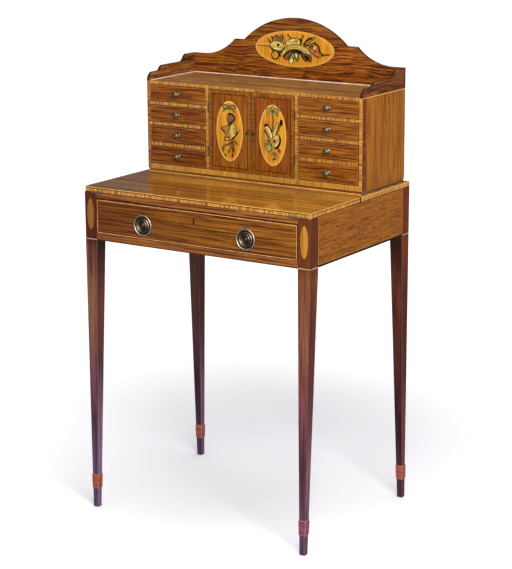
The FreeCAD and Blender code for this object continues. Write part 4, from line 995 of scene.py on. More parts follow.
def frameStrings():
    # a string round the foot of the frieze, a dark line along the foot of each side apron that paints its
    # shadow, with a faint one above it, a dark line along the rail's foot, and upright strings where the
    # aprons meet the legs
    rail = boxOf("drawer_rail_bottom")
    foot, inner, face = rail[0][2], rail[1][0], front / mm
    (_, near, _), (_, far, top) = boxOf("apron_right")
    edge = boxOf("leg_back_right")[1][0] - inlay["proud"]
    back = boxOf("apron_back")[1][1]
    aprons = [(-edge, far), (-edge, near)], [(edge, near), (edge, far)]
    runs = {
        "footString": ([(-edge, near), (-edge, face), (-inner, face)], [(-edge, back), (-edge, far)],
                       [(inner, face), (edge, face), (edge, near)], [(edge, far), (edge, back)]),
        "ebonised": aprons, "faintString": aprons, "darkArris": ([(-inner, face), (inner, face)],),
    }
    parts = []
    for finish, ways in runs.items():
        band = bandProfile(*(foot + height for height in friezeLook["levels"][finish]))
        parts += [(*carried(plan(), way, band), finish) for way in ways]
    # a painted shadow in the gap over the drawer, a dark strip flush so that the leaf folds clear of it
    lip = boxOf("drawer_rail_top")[0][2]
    gap = rectangle(-inner, inner, *(lip + height for height in friezeLook["gap"]))
    parts.append((*prism(frontPlane, gap, high=friezeLook["flush"]), "ebonised"))
    start = foot + friezeLook["levels"]["faintString"][1]
    for side in (-1, 1):
        for y in (near, far):
            upright = [(side * y, start), (side * y, top)]
            parts.append((*carried(sideWall(side, edge), upright, flatStrip(friezeLook["joint"])),
                          "faintString"))
    makePiece("frameStrings", parts, "table", "satinwood")


frameStrings()

# the ovals' halves and height over the rail; how far each layer stands out round them and proud of the leg
stile = {"halves": (10.0, 36.0), "rise": 59.0, "layers": ((1.3, 0.08, "ebonised"), (0.0, 0.16, "stileOval"))}
legArris = {"width": 0.8, "proud": 0.12, "near": 0.01}


def stileOvals():
    # an upright oval midway between each front leg's outer face and the drawer
    rail = boxOf("drawer_rail_bottom")
    parts = []
    for end, side in enumerate(("left", "right")):
        spot = ((boxOf("leg_front_" + side)[end][0] + rail[end][0]) / 2, rail[0][2] + stile["rise"])
        for grow, high, finish in stile["layers"]:
            halves = [half + grow for half in stile["halves"]]
            parts.append((*prism(frontPlane, oval(spot, halves), high=high), finish))
    makePiece("stileOvals", parts, "table", "satinwood")


def legStrings():
    # a bar down each front arris, from the frieze to the collar, its section a small square on the corner
    headLevel = boxOf("drawer_rail_bottom")[0][2]
    collarTop = boxOf("leg_collars")[1][2]
    limit = cadBounds[1][0] / mm
    square = np.array([(0, 0), (1, 0), (1, 1), (0, 1)]) * legArris["width"]
    faces = [[0, 1, 5, 4], [1, 2, 6, 5], [2, 3, 7, 6], [3, 0, 4, 7], [3, 2, 1, 0], [4, 5, 6, 7]]
    for leg in legPaintedLightShares:
        mesh = nodes["leg_" + leg].data
        marks = np.zeros(len(mesh.vertices) * 3)
        mesh.vertices.foreach_get("co", marks)
        marks = marks.reshape(-1, 3) / mm
        sections = [marks[np.abs(marks[:, 2] - level) < legArris["near"]] for level in (0.0, headLevel)]
        parts = []
        for inward, pick in ((1, np.min), (-1, np.max)):
            foot, head = (np.array([pick(spots[:, 0]), spots[:, 1].min(), spots[:, 2].mean()])
                          for spots in sections)
            corners = []
            for x, y, z in (foot + (head - foot) * collarTop / headLevel, head):
                x = np.clip(x - inward * legArris["proud"], -limit, limit)
                y -= legArris["proud"]
                corners += [(x + inward * across, y + deep, z) for across, deep in square]
            parts.append((np.array(corners) * mm, [face[::inward] for face in faces], "legString"))
        makePiece("legStrings_" + leg, parts, "table", "satinwood")


def cabinetFronts():
    # each small drawer is edged; each door is edged and crossbanded, with a dark line inside its band
    for side in ("left", "right"):
        for row in "123":
            name = f"small_drawer_{side}_{row}"
            parts = edgedFront(cabinetPlane, name, smallLook)
            makePiece(f"drawerStrings_{side}_{row}", parts, name + "_box", "satinwood")
        door = "door_" + side
        inset = doorLook["darkWidth"] + doorLook["paleWidth"]
        parts = edgedFront(cabinetPlane, door, doorLook)
        parts += crossbanded(cabinetPlane, outlineOf(door, inset), outlineOf(door, inset + doorLook["band"]))
        line = outlineOf(door, inset + doorLook["band"] + doorLook["innerLine"] / 2)
        parts.append((*carried(cabinetPlane, line, flatStrip(doorLook["innerLine"]), True), "ebonised"))
        if side == "right":
            parts += keyLining(cabinetPlane, *keyLook["door"])
        makePiece("doorStrings_" + side, parts, side + "_door", "satinwood")


stileOvals()
legStrings()
cabinetFronts()

cabinetLook = {
    "margin": 0.5, "lip": 0.4, "sideBand": 18.0, "topString": 1.5, "backLine": 1.6, "bandProud": 0.08,
    "bead": 1.5, "beadProud": 1.2, "beadStart": 6.0, "leafString": 1.6, "leafStringPlace": 8.5,
    "leafMargin": 1.0,
    # heights over the plinth's foot
    "plinthFront": ((0.1, 2.0, "paleRim"), (2.0, 3.4, "ebonised")),
    "plinthSide": ((0.2, 1.0, "ebonised"), (1.0, 4.2, "legString")),
}


def cabinetStrings():
    # bands and strings on the cabinet's sides, a bead at the gallery's foot, pale wood with a painted
    # reflection, and lines along the plinth
    look = cabinetLook
    margin, bead = look["margin"], look["bead"]
    low, high = boxOf("cabinet_sides")
    near, far, ceiling = low[1] + margin, high[1] - margin, high[2] - look["lip"]
    foot, top = low[2] + margin, ceiling - look["topString"]
    parts = []
    for side in (-1, 1):
        strips = ((near, low[1] + look["sideBand"], foot, top, look["bandProud"], "bandY"),
                  (near, high[1] - look["lip"], top, ceiling, None, "boxwood"),
                  (far - look["backLine"], far, foot, top, look["bandProud"], "ebonised"))
        parts += [(*sideStrip(side, high[0], *strip), finish) for *strip, finish in strips]
    back = boxOf("gallery_back")
    inner = boxOf("gallery_sides")[1][0] - (back[1][1] - back[0][1]) - bead / 2
    end, start = back[0][1] - bead / 2, low[1] + look["beadStart"]
    run = [(-inner, start), (-inner, end), (inner, end), (inner, start)]
    parts.append((*carried(plan(high[2]), run, flatStrip(bead, high=look["beadProud"])), "beadString"))
    low, high = boxOf("cabinet_plinth")
    wall = frontWall(low[1] * mm)
    for lower, upper, finish in look["plinthFront"]:
        strip = rectangle(low[0] + margin, high[0] - margin, low[2] + lower, low[2] + upper)
        parts.append((*prism(wall, strip), finish))
    for side in (-1, 1):
        for lower, upper, finish in look["plinthSide"]:
            strip = sideStrip(side, high[0], low[1] + margin, high[1] - margin,
                              low[2] + lower, low[2] + upper)
            parts.append((*strip, finish))
    makePiece("cabinetStrings", parts, "table", "satinwood")
    low, high = boxOf("writing_leaf")
    y = high[1] - look["leafStringPlace"]
    run = [(low[0] + look["leafMargin"], y), (high[0] - look["leafMargin"], y)]
    makePiece("leafTopString", [(*carried(plan(high[2]), run, flatStrip(look["leafString"])), "goldString")],
              "leaf", "satinwood")


cabinetStrings()
print("strings and bands laid")

# the knobs, turned in brass
knobLook = {
    # shares of the head's radius and of the reach, with how dark the hollow is
    "profile": ((0.80, 0.0, 0.7), (0.82, 0.05, 0.2), (0.66, 0.12, 0.3), (0.40, 0.20, 0.9), (0.33, 0.32, 1.0),
                (0.38, 0.44, 0.8), (0.74, 0.53, 0.4), (0.98, 0.64, 0.1), (1.0, 0.74, 0.0), (0.88, 0.86, 0.1),
                (0.62, 0.935, 0.45), (0.55, 0.93, 0.8), (0.46, 0.955, 0.2), (0.22, 0.995, 0.0),
                (0.0, 1.0, 0.0)),
    "nut": 0.55, "shank": 0.25, "steps": 4, "sides": 40, "drawerBoard": 10.0, "doorBoard": 12.0,
}


def turnedKnob(name, node, board, finish):
    # the profile's marks joined by a smooth curve, on a shank with a nut behind the board
    low, high = boxOf(node)
    face = cabinetFront / mm
    radius, reach, end = (high[0] - low[0]) / 2, face - low[1], face - high[1]
    head = smoothed(np.array(knobLook["profile"]) * (radius, reach, 1), knobLook["steps"], closed=False)
    head[:, :2] = np.clip(head[:, :2], 0, (radius, reach))
    shaft, nut = radius * knobLook["shank"], radius * knobLook["nut"]
    inside = [(0, end, 0), (nut, end, 0), (nut, -board, 0), (shaft, -board, 0), (shaft, 0, 0)]
    middle = (low + high) / 2 * mm
    plane = planeAt((middle[0], cabinetFront, middle[2]), (1, 0, 0), (0, 0, 1))
    knob = turned(plane, np.concatenate([inside, head]), knobLook["sides"])
    makePiece(name, [(*knob, finish)], bodyOf[node], "brass", (node,), smooth=True)


for side in ("left", "right"):
    for row in "1234":
        turnedKnob(f"drawerKnob_{side}_{row}", f"drawer_knob_{side}_{row}",
                   knobLook["drawerBoard"], "knobBrass")
    turnedKnob("doorKnob_" + side, "door_knob_" + side, knobLook["doorBoard"], "darkBrass")

# the ring pulls, with their back plates
pull = {
    # the plate: its ridges are places, half widths and heights
    "radius": 20.0, "flat": 1.05, "lip": 0.8, "ridges": ((15.6, 0.95, 1.9), (10.6, 0.85, 2.9)), "boss": 6.2,
    "bossRadius": 7.0, "steps": 90, "button": 6.4, "buttonGap": 0.4, "seat": 0.6, "buttonSeat": 0.4,
    "sides": (64, 48),
    # the eye's radius, half wall and half length, how its hoop tapers, and the neck that carries it
    "eye": (2.45, 0.85, 3.0), "eyeSteps": 28, "eyeTaper": 0.85, "eyeHollow": 0.3,
    "neckDrop": 1.2, "neck": (-1.6, 1.6, -1.6, 0.4), "neckProud": 1.2,
    # the ring, and the steps where its wire narrows to the pin
    "ring": 22.8, "wire": 1.9, "pin": 1.5, "shoulder": 1.75, "shoulderStep": (0.8, 0.15), "pinInset": 1.6,
    "ringGap": 2.3, "pinPlay": 0.4, "ringSteps": 72, "wireSides": 16, "wireBackDarkening": 0.35,
}


def plateProfile():
    # height over radius: a flat rim rolled at its edge, ridges like bells, and a domed boss;
    # the flats between them are hollows that keep their tarnish
    radius = np.linspace(pull["radius"], 0, pull["steps"])
    height = np.full_like(radius, pull["flat"])
    hollow = np.ones_like(radius)
    for place, wide, tall in pull["ridges"]:
        bell = np.exp(-((radius - place) / wide) ** 2)
        height += tall * bell
        hollow -= bell
    height += (pull["boss"] - pull["flat"]) * np.clip(1 - (radius / pull["bossRadius"]) ** 2, 0, 1) ** 0.5
    height *= np.clip((pull["radius"] - radius) / pull["lip"], 0, 1) ** 0.5
    return np.concatenate([[(0, 0, 0)], np.column_stack([radius, height, np.clip(hollow, 0, 1)])])


def backPlate(plane, eyePlane, neckPlane):
    # the turned plate round its bronze button, and the eye, a hoop with its neck, that holds the ring's pin
    profile = plateProfile()
    button = profile[:, 0] < pull["button"]
    button[0] = False
    rim = [(pull["button"] - pull["buttonGap"], pull["seat"], 1), (0, pull["seat"], 1)]
    seat = [(0, pull["buttonSeat"], 1), (pull["button"], pull["buttonSeat"], 1)]
    angle = np.linspace(0, -2 * math.pi, pull["eyeSteps"], endpoint=False)[::-1]
    middle, wall, half = pull["eye"]
    small = half * pull["eyeTaper"]
    hoop = carried(eyePlane, np.column_stack([middle * np.cos(angle), middle * np.sin(angle)]),
                   [(-wall, -half), (wall, -small), (wall, small), (-wall, half)], True)
    return [(*turned(plane, np.concatenate([profile[~button], rim]), pull["sides"][0]), "brass"),
            (*turned(plane, np.concatenate([seat, profile[button]]), pull["sides"][1]), "bronze"),
            (*hoop, np.full(len(hoop[0]), pull["eyeHollow"]), "brass"),
            (*prism(neckPlane, rectangle(*pull["neck"]), 0, pull["neckProud"]), "brass")]


def pullRing(plane, half, pinLevel):
    # a round wire carried round an arc and back along its straight pin, thinner there; it is darker behind
    start = math.asin(half / pull["ring"])
    angle = math.pi / 2 + start + np.linspace(0, 2 * math.pi - 2 * start, pull["ringSteps"])
    arc = pull["ring"] * np.column_stack([np.cos(angle), np.sin(angle)])
    inner, (out, up) = half - pull["pinInset"], pull["shoulderStep"]
    pin = [(inner + out, pinLevel + up), (inner, pinLevel), (-inner, pinLevel), (-inner - out, pinLevel + up)]
    thin = [pull[part] for part in ("shoulder", "pin", "pin", "shoulder")]
    swell = np.concatenate([np.full(len(arc), pull["wire"]), thin])
    turn = np.linspace(0, 2 * math.pi, pull["wireSides"], endpoint=False)
    wire = carried(plane, np.concatenate([arc, pin]), np.column_stack([np.cos(turn), np.sin(turn)]),
                   True, swell)
    return (*wire, np.tile(pull["wireBackDarkening"] * np.clip(-np.sin(turn), 0, 1), len(swell)), "brass")


def ringPulls():
    # the pin stands where the ring's circle has opened to the eye's length
    half = pull["eye"][2] + pull["pinPlay"] + pull["wire"]
    rise = math.sqrt(pull["ring"] ** 2 - half ** 2)
    plates = []
    for side in ("left", "right"):
        node = "pull_ring_" + side
        low, high = boxOf(node)
        x, z = (low[0] + high[0]) / 2, low[2] + pull["ring"] + pull["wire"]
        pin, gap = z + rise, front - pull["ringGap"] * mm
        plates += backPlate(planeAt((x * mm, front, z * mm), (1, 0, 0), (0, 0, 1)),
                            planeAt((x * mm, gap, pin * mm), (0, 1, 0), (0, 0, 1)),
                            planeAt((x * mm, front, (pin - pull["neckDrop"]) * mm), (1, 0, 0), (0, 0, 1)))
        ring = pullRing(planeAt((x * mm, gap, z * mm), (1, 0, 0), (0, 0, 1)), half, rise)
        makePiece("ringPull_" + side, [ring], "ring_" + side, "brass", (node,), smooth=True)
    makePiece("pullPlates", plates, "frieze_drawer", "brass", ("pull_plates",), smooth=True)


ringPulls()
print("brassware turned")


# marquetry: a trophy laid in each oval, every piece with a scorched edge under it
def spread(outline, distance):
    # every point moved outwards along the outline's own normal
    outline = np.asarray(outline, float)
    following = np.roll(outline, -1, 0)
    way = following - np.roll(outline, 1, 0)
    way /= np.linalg.norm(way, axis=1, keepdims=True) + 1e-9
    turn = np.sign((outline[:, 0] * following[:, 1] - following[:, 0] * outline[:, 1]).sum())
    return outline + turn * distance * np.column_stack([way[:, 1], -way[:, 0]])


def bow(x, z, wide, rise, finish, width):
    # two loops, two tails and a knot
    parts = []
    for s in (-wide, wide):
        loop = [(0, 0), (0.45, 1), (0.95, 0.9), (1, 0.2), (0.6, -0.15), (0, 0)]
        tail = [(0, 0), (0.5, -0.5), (1.05, -1.3)]
        for size, line in ((1.0, loop), (0.8, tail)):
            parts.append(("line", finish, width * size,
                          [(x + s * along, z + rise * up) for along, up in line]))
    return parts + [("disc", "scorched", (x, z), (2.0, 2.6), 0)]


# each motif in millimetres from its oval's middle: line (finish, width, points), shape (finish, points),
# disc (finish, middle, halves, turn), leaf (finish, base, tip, width), ring (finish, width, middle, halves)
leftTrophy = bow(-1.5, 53, 17, 6.5, "greenWood", 2.4) + [
    ("leaf", "greenWood", (-1.5, 52), (-2.5, 65), 5.0),
    ("line", "scorched", 0.8, [(-1.5, 51), (0.5, 45), (0, 41)]),
    ("disc", "brownWood", (2.5, 28), (7.2, 10.5), -12),
    ("line", "scorched", 3.6, [(-5, 38), (2, 41), (11.5, 36), (14.5, 29), (9.5, 23), (2, 18), (-1, 12)]),
    ("line", "scorched", 1.2, [(-6, 37), (-7.5, 29), (-4, 20), (-2, 14)]),
    ("shape", "russetWood", [(-22, 7), (-13, 10), (-3, 13), (1, 8), (0, -2), (-6, -5), (-14, 1)]),
    ("line", "scorched", 2.2, [(-24, 7), (-17, -1), (-8, -11), (3, -19)]),
    ("disc", "yellowWood", (7.5, -0.5), (9.5, 17.5), -8),
    ("shape", "holly", [(1, -10), (5, -15.5), (10, -14), (6, -17.8), (1, -15.5)]),
    ("shape", "holly", [(12, 9), (14.5, 3), (13, -5), (11.5, 2)]),
    ("line", "greenWood", 1.6, [(1.5, 12), (0.5, 2), (3, -9)]),
    ("line", "scorched", 3.4, [(27, 5), (19, -6), (7, -17.5)]), ("disc", "holly", (25, 3), (1.6, 1.6), 0),
    ("line", "scorched", 1.6, [(7, -17), (0, -22), (-8, -22)]),
    ("disc", "scorched", (-12, -15), (2.6, 2.4), 20),
    ("disc", "scorched", (-13.5, -21), (2.4, 2.0), 0),
    ("line", "redWood", 2.1, [(11, -22), (-2, -29.5), (-14, -34.5)]),
    ("line", "greenWood", 1.0, [(-13, -22), (-16.5, -34), (-18, -46), (-12, -57)]),
    ("leaf", "greenWood", (-17, -35), (-19.5, -49), 5.5), ("leaf", "yellowWood", (-12, -24), (-19, -30), 4.0),
    ("line", "scorched", 0.9, [(5, -22), (5.5, -34), (-1, -44)]),
    ("line", "scorched", 0.9, [(6, -30), (10, -42), (8, -56)]),
    ("disc", "brownWood", (6.5, -33), (3.4, 7.5), 8),
    ("leaf", "brownWood", (14, -20), (21, -31), 4.5), ("disc", "scorched", (-2, -46), (1.5, 4.2), -10),
    ("disc", "scorched", (8, -56), (1.6, 3.4), 10), ("disc", "scorched", (-12, -56), (1.6, 2.8), 20),
    ("disc", "redWood", (10, -42), (1.7, 3.0), 0),
]

rightTrophy = bow(0, 54, 16, 6.5, "greyWood", 2.2) + [
    ("disc", "greyWood", (0.8, 62), (3.2, 4.4), 0), ("leaf", "greenWood", (0, 56), (-5, 63), 3.4),
    ("line", "greenWood", 2.2, [(-0.5, 50), (0.8, 36), (0, 24), (1, 9)]),
    ("line", "scorched", 0.8, [(1.2, 48), (2.4, 34), (1.8, 20)]),
    ("line", "redWood", 2.0, [(-22, 10), (-16, 2), (-9, -7)]), ("disc", "scorched", (-22, 8), (2.0, 2.6), 0),
    ("shape", "holly", [(-20, 20), (-12, 21), (-5, 9), (-1, -2), (-5, -7), (-10, -1), (-16, 9)]),
    ("line", "scorched", 1.6, [(-17, 16), (-11, 6), (-6, -4)]),
    ("shape", "scorched", [(-23, 20), (-18, 26), (-11, 23), (-9, 18), (-15, 20), (-19, 18)]),
    ("line", "scorched", 3.0, [(-11, 20), (-5, 14), (-1, 7)]),
    ("shape", "yellowWood", [(11, 27), (15, 24), (9, 8), (4, -2), (1, 1), (5, 13)]),
    ("line", "brownWood", 4.0, [(22.5, 30), (15, 14), (8, -1)]),
    ("line", "scorched", 1.0, [(20.5, 29), (13, 13), (6, 0)]),
    ("shape", "scorched", [(18, 30), (22, 38), (27, 35), (26, 25), (21, 24)]),
    ("disc", "yellowWood", (9.0, -12.0), (8.8, 14.8), -24),
    ("shape", "holly", [(16.5, -6), (17.5, -13), (12, -22), (5, -25.5), (9, -18), (14, -12)]),
    ("disc", "scorched", (5.0, -12.5), (3.0, 4.2), -20),
    ("line", "scorched", 3.2, [(18, 1), (21, -11), (16, -23), (6, -30.5)]),
    ("line", "redWood", 2.6, [(13, -27), (21, -37)]), ("disc", "scorched", (-9.5, -12.5), (2.6, 3.0), 0),
    ("shape", "greyWood", [(-20, -15), (-12, -13), (-5, -20), (-2, -30), (-7, -38), (-15, -35), (-20, -26)]),
    ("leaf", "greenWood", (-9, -16), (-20, -24), 5.0), ("leaf", "holly", (-5, -22), (-13, -36), 5.0),
    ("line", "scorched", 0.9, [(-3, -22), (-9, -28), (-16, -31)]),
    ("line", "greenWood", 1.6, [(0, -31), (4.5, -43), (2, -60)]),
    ("leaf", "greenWood", (3, -38), (10, -45), 4.5),
    ("leaf", "greyWood", (3, -38), (-4, -46), 4.5), ("leaf", "greyWood", (4, -46), (11, -54), 4.0),
    ("disc", "scorched", (3.4, -54), (3.2, 2.0), 15),
    ("line", "greyWood", 1.0, [(-6, -38), (-11, -47), (-9, -54)]),
]

crestTrophy = [
    ("line", "scorched", 1.7, [(-104, 3), (-84, 3.4), (-64, 2)]),
    ("line", "holly", 1.2, [(-99, 7), (-86, 6.5), (-72, 9)]),
    ("line", "redWood", 1.8, [(60, -6), (80, -9), (94, -8)]),
    ("line", "scorched", 0.9, [(92, -8), (104, -6)]),
    ("leaf", "scorched", (-52, 14), (-66, 27), 7.0), ("leaf", "greenWood", (-66, 10), (-73, 21), 5.5),
    ("leaf", "greenWood", (-34, 10), (-38, 34), 7.0), ("leaf", "scorched", (-29, 9), (-33, 33), 5.0),
    ("leaf", "greyWood", (-30, 10), (-29, 26), 3.5),
    ("shape", "brownWood", [(-58, 12), (-59, 22), (-49, 29), (-41, 24), (-39, 12)]),
    ("shape", "yellowWood",
     [(-67, 5), (-60, 13), (-48, 15), (-36, 12), (-29, 5), (-33, -4), (-44, -7), (-57, -5)]),
    ("shape", "holly", [(-60, -1), (-50, -4.5), (-38, -3), (-35, 1), (-44, 0), (-54, 2)]),
    ("disc", "scorched", (-45, 7), (4.0, 3.8), 0),
    ("line", "scorched", 3.6, [(-69, 4), (-60, -5), (-48, -8.5), (-35, -7), (-27, 2)]),
    ("ring", "scorched", 3.2, (-53, -17), (9.6, 9.6)), ("ring", "yellowWood", 1.2, (-53, -17), (7.4, 7.4)),
    ("leaf", "scorched", (-45, -14), (-36, -20), 6.0),
    ("line", "scorched", 2.0, [(-30, -4), (-38, -11), (-46, -14)]),
    ("line", "redWood", 2.0, [(-20, 33), (-12, 26), (-9, 20)]),
    ("line", "redWood", 2.2, [(25, 34), (20, 24), (17, 14)]),
    ("line", "scorched", 2.2, [(-28, 16), (-24, 12), (-18, 15)]),
    ("shape", "yellowWood", [(-23, 9), (-18, 19), (-8, 24), (4, 25), (13, 21), (14, 12), (4, 8), (-8, 7)]),
    ("shape", "holly", [(-16, 18), (-7, 22.5), (3, 23), (0, 19), (-9, 17)]),
    ("disc", "scorched", (5, 18), (3.4, 2.6), 15), ("disc", "holly", (4, 18), (1.9, 1.4), 15),
    ("line", "scorched", 3.8, [(13, 25), (18, 19), (15, 11)]),
    ("shape", "scorched", [(23, 11), (29, 20), (38, 27), (48, 30), (51, 25), (41, 16), (31, 10)]),
    ("shape", "brownWood", [(28, 14), (34, 20), (43, 25), (45, 23), (37, 17)]),
    ("line", "holly", 1.0, [(31, 13), (38, 18), (46, 23)]),
    ("line", "scorched", 2.6, [(27, 7), (42, 12), (58, 20)]),
    ("leaf", "greenWood", (46, 22), (56, 33), 6.0),
    ("shape", "yellowWood", [(-34, -13), (-28, -2), (-14, 7), (1, 10), (20, 8), (36, 1), (43, -9), (35, -13),
                             (20, -4), (4, 0), (-12, -2), (-24, -12)]),
    ("line", "holly", 2.2, [(-28, -7), (-14, 3), (2, 6), (20, 3.5), (36, -5)]),
    ("line", "greyWood", 1.6, [(10, 0), (26, -3), (38, -10)]),
    ("line", "scorched", 3.6, [(-31, -22), (-21, -9), (-5, -3), (12, -4), (28, -10), (42, -13)]),
    ("shape", "brownWood", [(-28, -22), (-18, -11), (-8, -6), (-12, -17), (-20, -25)]),
    ("line", "scorched", 3.4, [(-3, -5), (-10, -16), (-17, -27)]),
    ("line", "scorched", 3.0, [(0, -5), (-3, -18), (-11, -33)]),
    ("line", "holly", 1.4, [(-5, -12), (-10, -21), (-14, -28)]),
    ("shape", "greyWood", [(-2, -9), (-6, -20), (-8, -27), (-3, -25), (0, -15)]),
    ("shape", "holly", [(-7, -22), (-13, -31), (-8, -34), (-3, -27)]),
    ("shape", "greenWood", [(2, -8), (2, -20), (7, -27), (12, -22), (10, -12)]),
    ("shape", "holly", [(3, -10), (4, -18), (7, -20), (8, -12)]),
    ("line", "scorched", 4.2, [(2, -4), (16, -10), (25, -20), (31, -26)]),
    ("shape", "redWood", [(24, -13), (36, -12), (45, -16), (44, -27), (36, -24), (30, -26)]),
    ("shape", "scorched", [(27, -15), (36, -15), (41, -19), (39, -25), (33, -22)]),
    ("shape", "orangeWood",
     [(42, 2), (51, 12), (58, 15), (66, 9), (69, -2), (76, -9), (68, -15), (58, -12), (48, -6)]),
    ("line", "scorched", 3.0, [(40, 4), (45, 9), (50, 8), (46, 2)]),
    ("shape", "holly", [(50, 5), (55, 10), (59, 8), (56, 1)]),
    ("line", "scorched", 3.4, [(54, 15), (62, 13), (67, 6), (67, -2)]),
    ("line", "scorched", 2.6, [(67, -3), (73, -9), (79, -12)]),
    ("line", "redWood", 2.0, [(47, -6), (57, -12), (66, -15)]), ("disc", "scorched", (56, -3), (2.4, 2.2), 0),
]

marquetry = {
    # heights of the ground and of each level over it, how far a piece stands over its own scorched edge,
    # and that edge's width; thin lines have none
    "ground": 0.24, "level": 0.07, "shade": 0.03, "scorch": 1.3, "leafScorch": 0.7, "lineScorch": 1.4,
    "least": 1.7, "steps": {"leaf": 9, "line": 8, "shape": 6, "ring": 40, "disc": 32, "oval": 96},
    # how far an oval's dark line and pale string stand out beyond the ground, and their heights
    "rims": ((1.3, 0.14, "ebonised"), (0.0, 0.19, "paleRim")), "rim": 1.0,
}


def leafOutline(base, tip, width):
    # along the leaf its half width follows the sine of the way there, fuller near the base
    base, tip = np.array(base, float), np.array(tip, float)
    t = np.linspace(0, 1, marquetry["steps"]["leaf"])[:, None]
    way = tip - base
    side = np.array([-way[1], way[0]]) / np.linalg.norm(way)
    half = width / 2 * np.sin(math.pi * t ** 0.8)
    up, down = (base + way * t + side * half * s for s in (1, -1))
    return np.concatenate([up, down[-2:0:-1]])


def motifOutline(motif):
    # the edge of a leaf, disc or shape, or the middle line of a line or ring
    kind, steps = motif[0], marquetry["steps"]
    if kind == "line":
        return smoothed(motif[3], steps[kind], closed=False)
    if kind == "ring":
        return oval(motif[3], motif[4], 0, steps[kind])
    if kind == "leaf":
        return leafOutline(*motif[2:])
    return oval(*motif[2:], steps[kind]) if kind == "disc" else smoothed(motif[2], steps[kind])


def layMotif(plane, motif, outline, rise):
    # one piece of a trophy as closed prisms: its own wood, and its scorched edge under it
    kind, finish = motif[:2]
    shadow = marquetry["ground"] + rise
    wood = shadow + marquetry["shade"]
    if kind in ("line", "ring"):
        width, closed = motif[2], kind == "ring"
        parts = [(*carried(plane, outline, flatStrip(width, high=wood), closed), finish)]
        if finish != "scorched" and width > marquetry["least"]:
            wider = width + marquetry["scorch"] * marquetry["lineScorch"]
            parts.append((*carried(plane, outline, flatStrip(wider, high=shadow), closed), "scorched"))
        return parts
    parts = [(*prism(plane, outline, high=wood), finish)]
    if finish != "scorched":
        edge = spread(outline, marquetry["leafScorch" if kind == "leaf" else "scorch"])
        parts.append((*prism(plane, edge, high=shadow), "scorched"))
    return parts


def trophyLevels(outlines):
    # a motif lies one level above the highest earlier one whose box meets its own
    boxes = [(outline.min(0), outline.max(0)) for outline in outlines]
    levels = []
    for i, (low, high) in enumerate(boxes):
        under = [levels[j] for j in range(i) if (boxes[j][0] < high).all() and (boxes[j][1] > low).all()]
        levels.append(1 + max(under, default=0))
    return levels


# each oval's halves in millimetres, how strongly its ground pales towards its outline, and the crest's height
doorOval = {"halves": (36.5, 70.0), "glow": 0.7}
crestOval = {"halves": (108.0, 42.0), "glow": 0.5, "height": 1050.0}
# a ground's pale rim: its tone, the part of the oval where it comes in, and its depth through the board
rimGlow = {"rim": (0.68, 0.33, 0.045), "edge": (0.84, 1.0), "depth": 10.0}


def inlaidOval(name, y, x, z, look, trophy, body):
    # a scorched line, a pale string and the upright satinwood ground, one inside another, under the trophy
    halves = look["halves"]
    ground = name.replace("Oval", "OvalGround")
    finishes[ground] = woodFinish(ground, "z", "ovalSatinwood", "oval", 6.5, glow={
        **rimGlow, "middle": (x * mm, y, z * mm),
        "halves": (halves[0] * mm, rimGlow["depth"], halves[1] * mm), "strength": look["glow"]})
    rings = (*marquetry["rims"], (-marquetry["rim"], marquetry["ground"], ground))
    parts = [(*prism(frontWall(y), oval((x, z), [half + grow for half in halves], 0,
                                        marquetry["steps"]["oval"]), high=high), finish)
             for grow, high, finish in rings]
    local = planeAt((x * mm, y, z * mm), (1, 0, 0), (0, 0, 1))
    outlines = [motifOutline(motif) for motif in trophy]
    for motif, outline, level in zip(trophy, outlines, trophyLevels(outlines)):
        parts += layMotif(local, motif, outline, marquetry["level"] * level)
    makePiece(name, parts, body, "satinwood")


low, high = boxOf("door_right")
doorX, doorZ = (low[0] + high[0]) / 2, (low[2] + high[2]) / 2
inlaidOval("doorOval_left", cabinetFront, -doorX, doorZ, doorOval, leftTrophy, "left_door")
inlaidOval("doorOval_right", cabinetFront, doorX, doorZ, doorOval, rightTrophy, "right_door")
inlaidOval("crestOval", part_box("gallery_back")[0].y, 0, crestOval["height"], crestOval, crestTrophy, "table")
print("marquetry laid")

# the floor, the air and the lamps
studio = {
    # the floor's own colour, and the patch, the grey of a painted shadow under the table
    "floor": (0.90, 0.90, 0.91), "patch": (0.716, 0.711, 0.742), "floorHalf": 60.0, "paper": 0.9,
    "paperShine": 0.1,
    # the middle and the halves of that painted shadow, a greyer patch of floor that the table stands on
    "shadowMiddle": (-0.13, 0.34, 0.0), "shadowHalves": (0.60, 0.60, 10.0), "patchEdge": (0.33, 2.10),
    # the glow is painted light: an emission that brightens the floor away from the table
    "glow": 0.30,
    # what the polish mirrors below and above, and the heights between which it changes
    "air": 0.41, "dusk": (0.24, 0.09), "duskEdge": (-0.35, 0.25),
    # name, strength, spread in degrees, compass it comes from (0 in front, 90 from +x), height over the floor
    "suns": (("frontLamp", 0.74, 45, 10, 35), ("topLamp", 1.25, 60, 170, 75)),
    # a broad soft box at the front right: place, what it is aimed at, width and height in metres, watts
    "box": ((2.1, -2.0, 2.1), (0.0, 0.0, 0.75), (1.6, 1.6), 118),
}


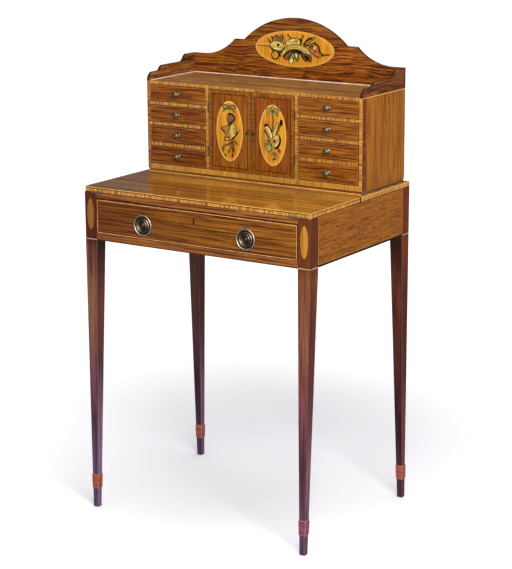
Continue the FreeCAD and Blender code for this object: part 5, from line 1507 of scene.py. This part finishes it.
def layFloor():
    # a flat sheet with a painted shadow, greyer under the table, and a painted glow that brightens it away
    # from it
    half = studio["floorHalf"]
    mesh = bpy.data.meshes.new("studioFloor")
    mesh.from_pydata([(-half, -half, 0), (half, -half, 0), (half, half, 0), (-half, half, 0)],
                     [], [(0, 1, 2, 3)])
    finish, tree, shader = blankFinish("studioPaper", {
        "Roughness": studio["paper"], "Specular IOR Level": studio["paperShine"],
        "Emission Color": (1, 1, 1, 1)})
    near, far = studio["patchEdge"]
    away = addNode(tree, "ShaderNodeMapRange", {1: near, 2: far}, interpolation_type="SMOOTHSTEP")
    tree.links.new(ovalReach(tree, studio["shadowMiddle"], studio["shadowHalves"]), away.inputs[0])
    colour = mixTones(tree, away.outputs[0], studio["patch"], studio["floor"])
    tree.links.new(colour, shader.inputs["Base Color"])
    tree.links.new(remapped(tree, away.outputs[0], 0.0, 1.0, 0.0, studio["glow"]),
                   shader.inputs["Emission Strength"])
    mesh.materials.append(finish)
    floor = bpy.data.objects.new("studioFloor", mesh)
    bpy.context.scene.collection.objects.link(floor)
    floor.visible_glossy = False  # the polish mirrors the dim room, not the paper


def hangLamp(name, kind, strength):
    # a lamp on its stand, still to be placed
    lamp = bpy.data.lights.new(name, kind)
    lamp.energy = strength
    stand = bpy.data.objects.new(name, lamp)
    bpy.context.scene.collection.objects.link(stand)
    return lamp, stand


def airTheRoom():
    # white behind the table, soft air for the wood, and a dim room in the polish
    world = bpy.data.worlds.new("studioAir")
    bpy.context.scene.world = world
    world.use_nodes = True
    tree = world.node_tree
    seen = addNode(tree, "ShaderNodeLightPath")
    way = addNode(tree, "ShaderNodeTexCoord")
    parts = addNode(tree, "ShaderNodeSeparateXYZ")
    tree.links.new(way.outputs["Generated"], parts.inputs[0])
    dusk = remapped(tree, parts.outputs[2], *studio["duskEdge"], *studio["dusk"])
    shown = tree.nodes["Background"].outputs[0]
    tree.nodes["Background"].inputs["Color"].default_value = (1, 1, 1, 1)
    tree.nodes["Background"].inputs["Strength"].default_value = studio["air"]
    for ray in ("Is Glossy Ray", "Is Camera Ray"):
        air = addNode(tree, "ShaderNodeBackground", {"Color": (1, 1, 1, 1), "Strength": 1.0})
        if ray == "Is Glossy Ray":
            tree.links.new(dusk, air.inputs["Strength"])
        choose = addNode(tree, "ShaderNodeMixShader")
        tree.links.new(seen.outputs[ray], choose.inputs[0])
        tree.links.new(shown, choose.inputs[1])
        tree.links.new(air.outputs[0], choose.inputs[2])
        shown = choose.outputs[0]
    tree.links.new(shown, tree.nodes["World Output"].inputs[0])


def lightStudio():
    # two broad suns and a soft box
    for name, strength, width, compass, height in studio["suns"]:
        lamp, stand = hangLamp(name, "SUN", strength)
        lamp.angle = math.radians(width)
        stand.rotation_euler = (math.radians(90 - height), 0, math.radians(compass))
    place, aim, size, watts = studio["box"]
    lamp, stand = hangLamp("softBox", "AREA", watts)
    lamp.shape = "RECTANGLE"
    lamp.size, lamp.size_y = size
    stand.location = place
    stand.rotation_euler = (Vector(aim) - Vector(place)).to_track_quat("-Z", "Y").to_euler()
    settings = bpy.context.scene.view_settings
    settings.view_transform = "Standard"
    settings.look = "None"


layFloor()
airTheRoom()
lightStudio()
print("floor laid and lamps hung")
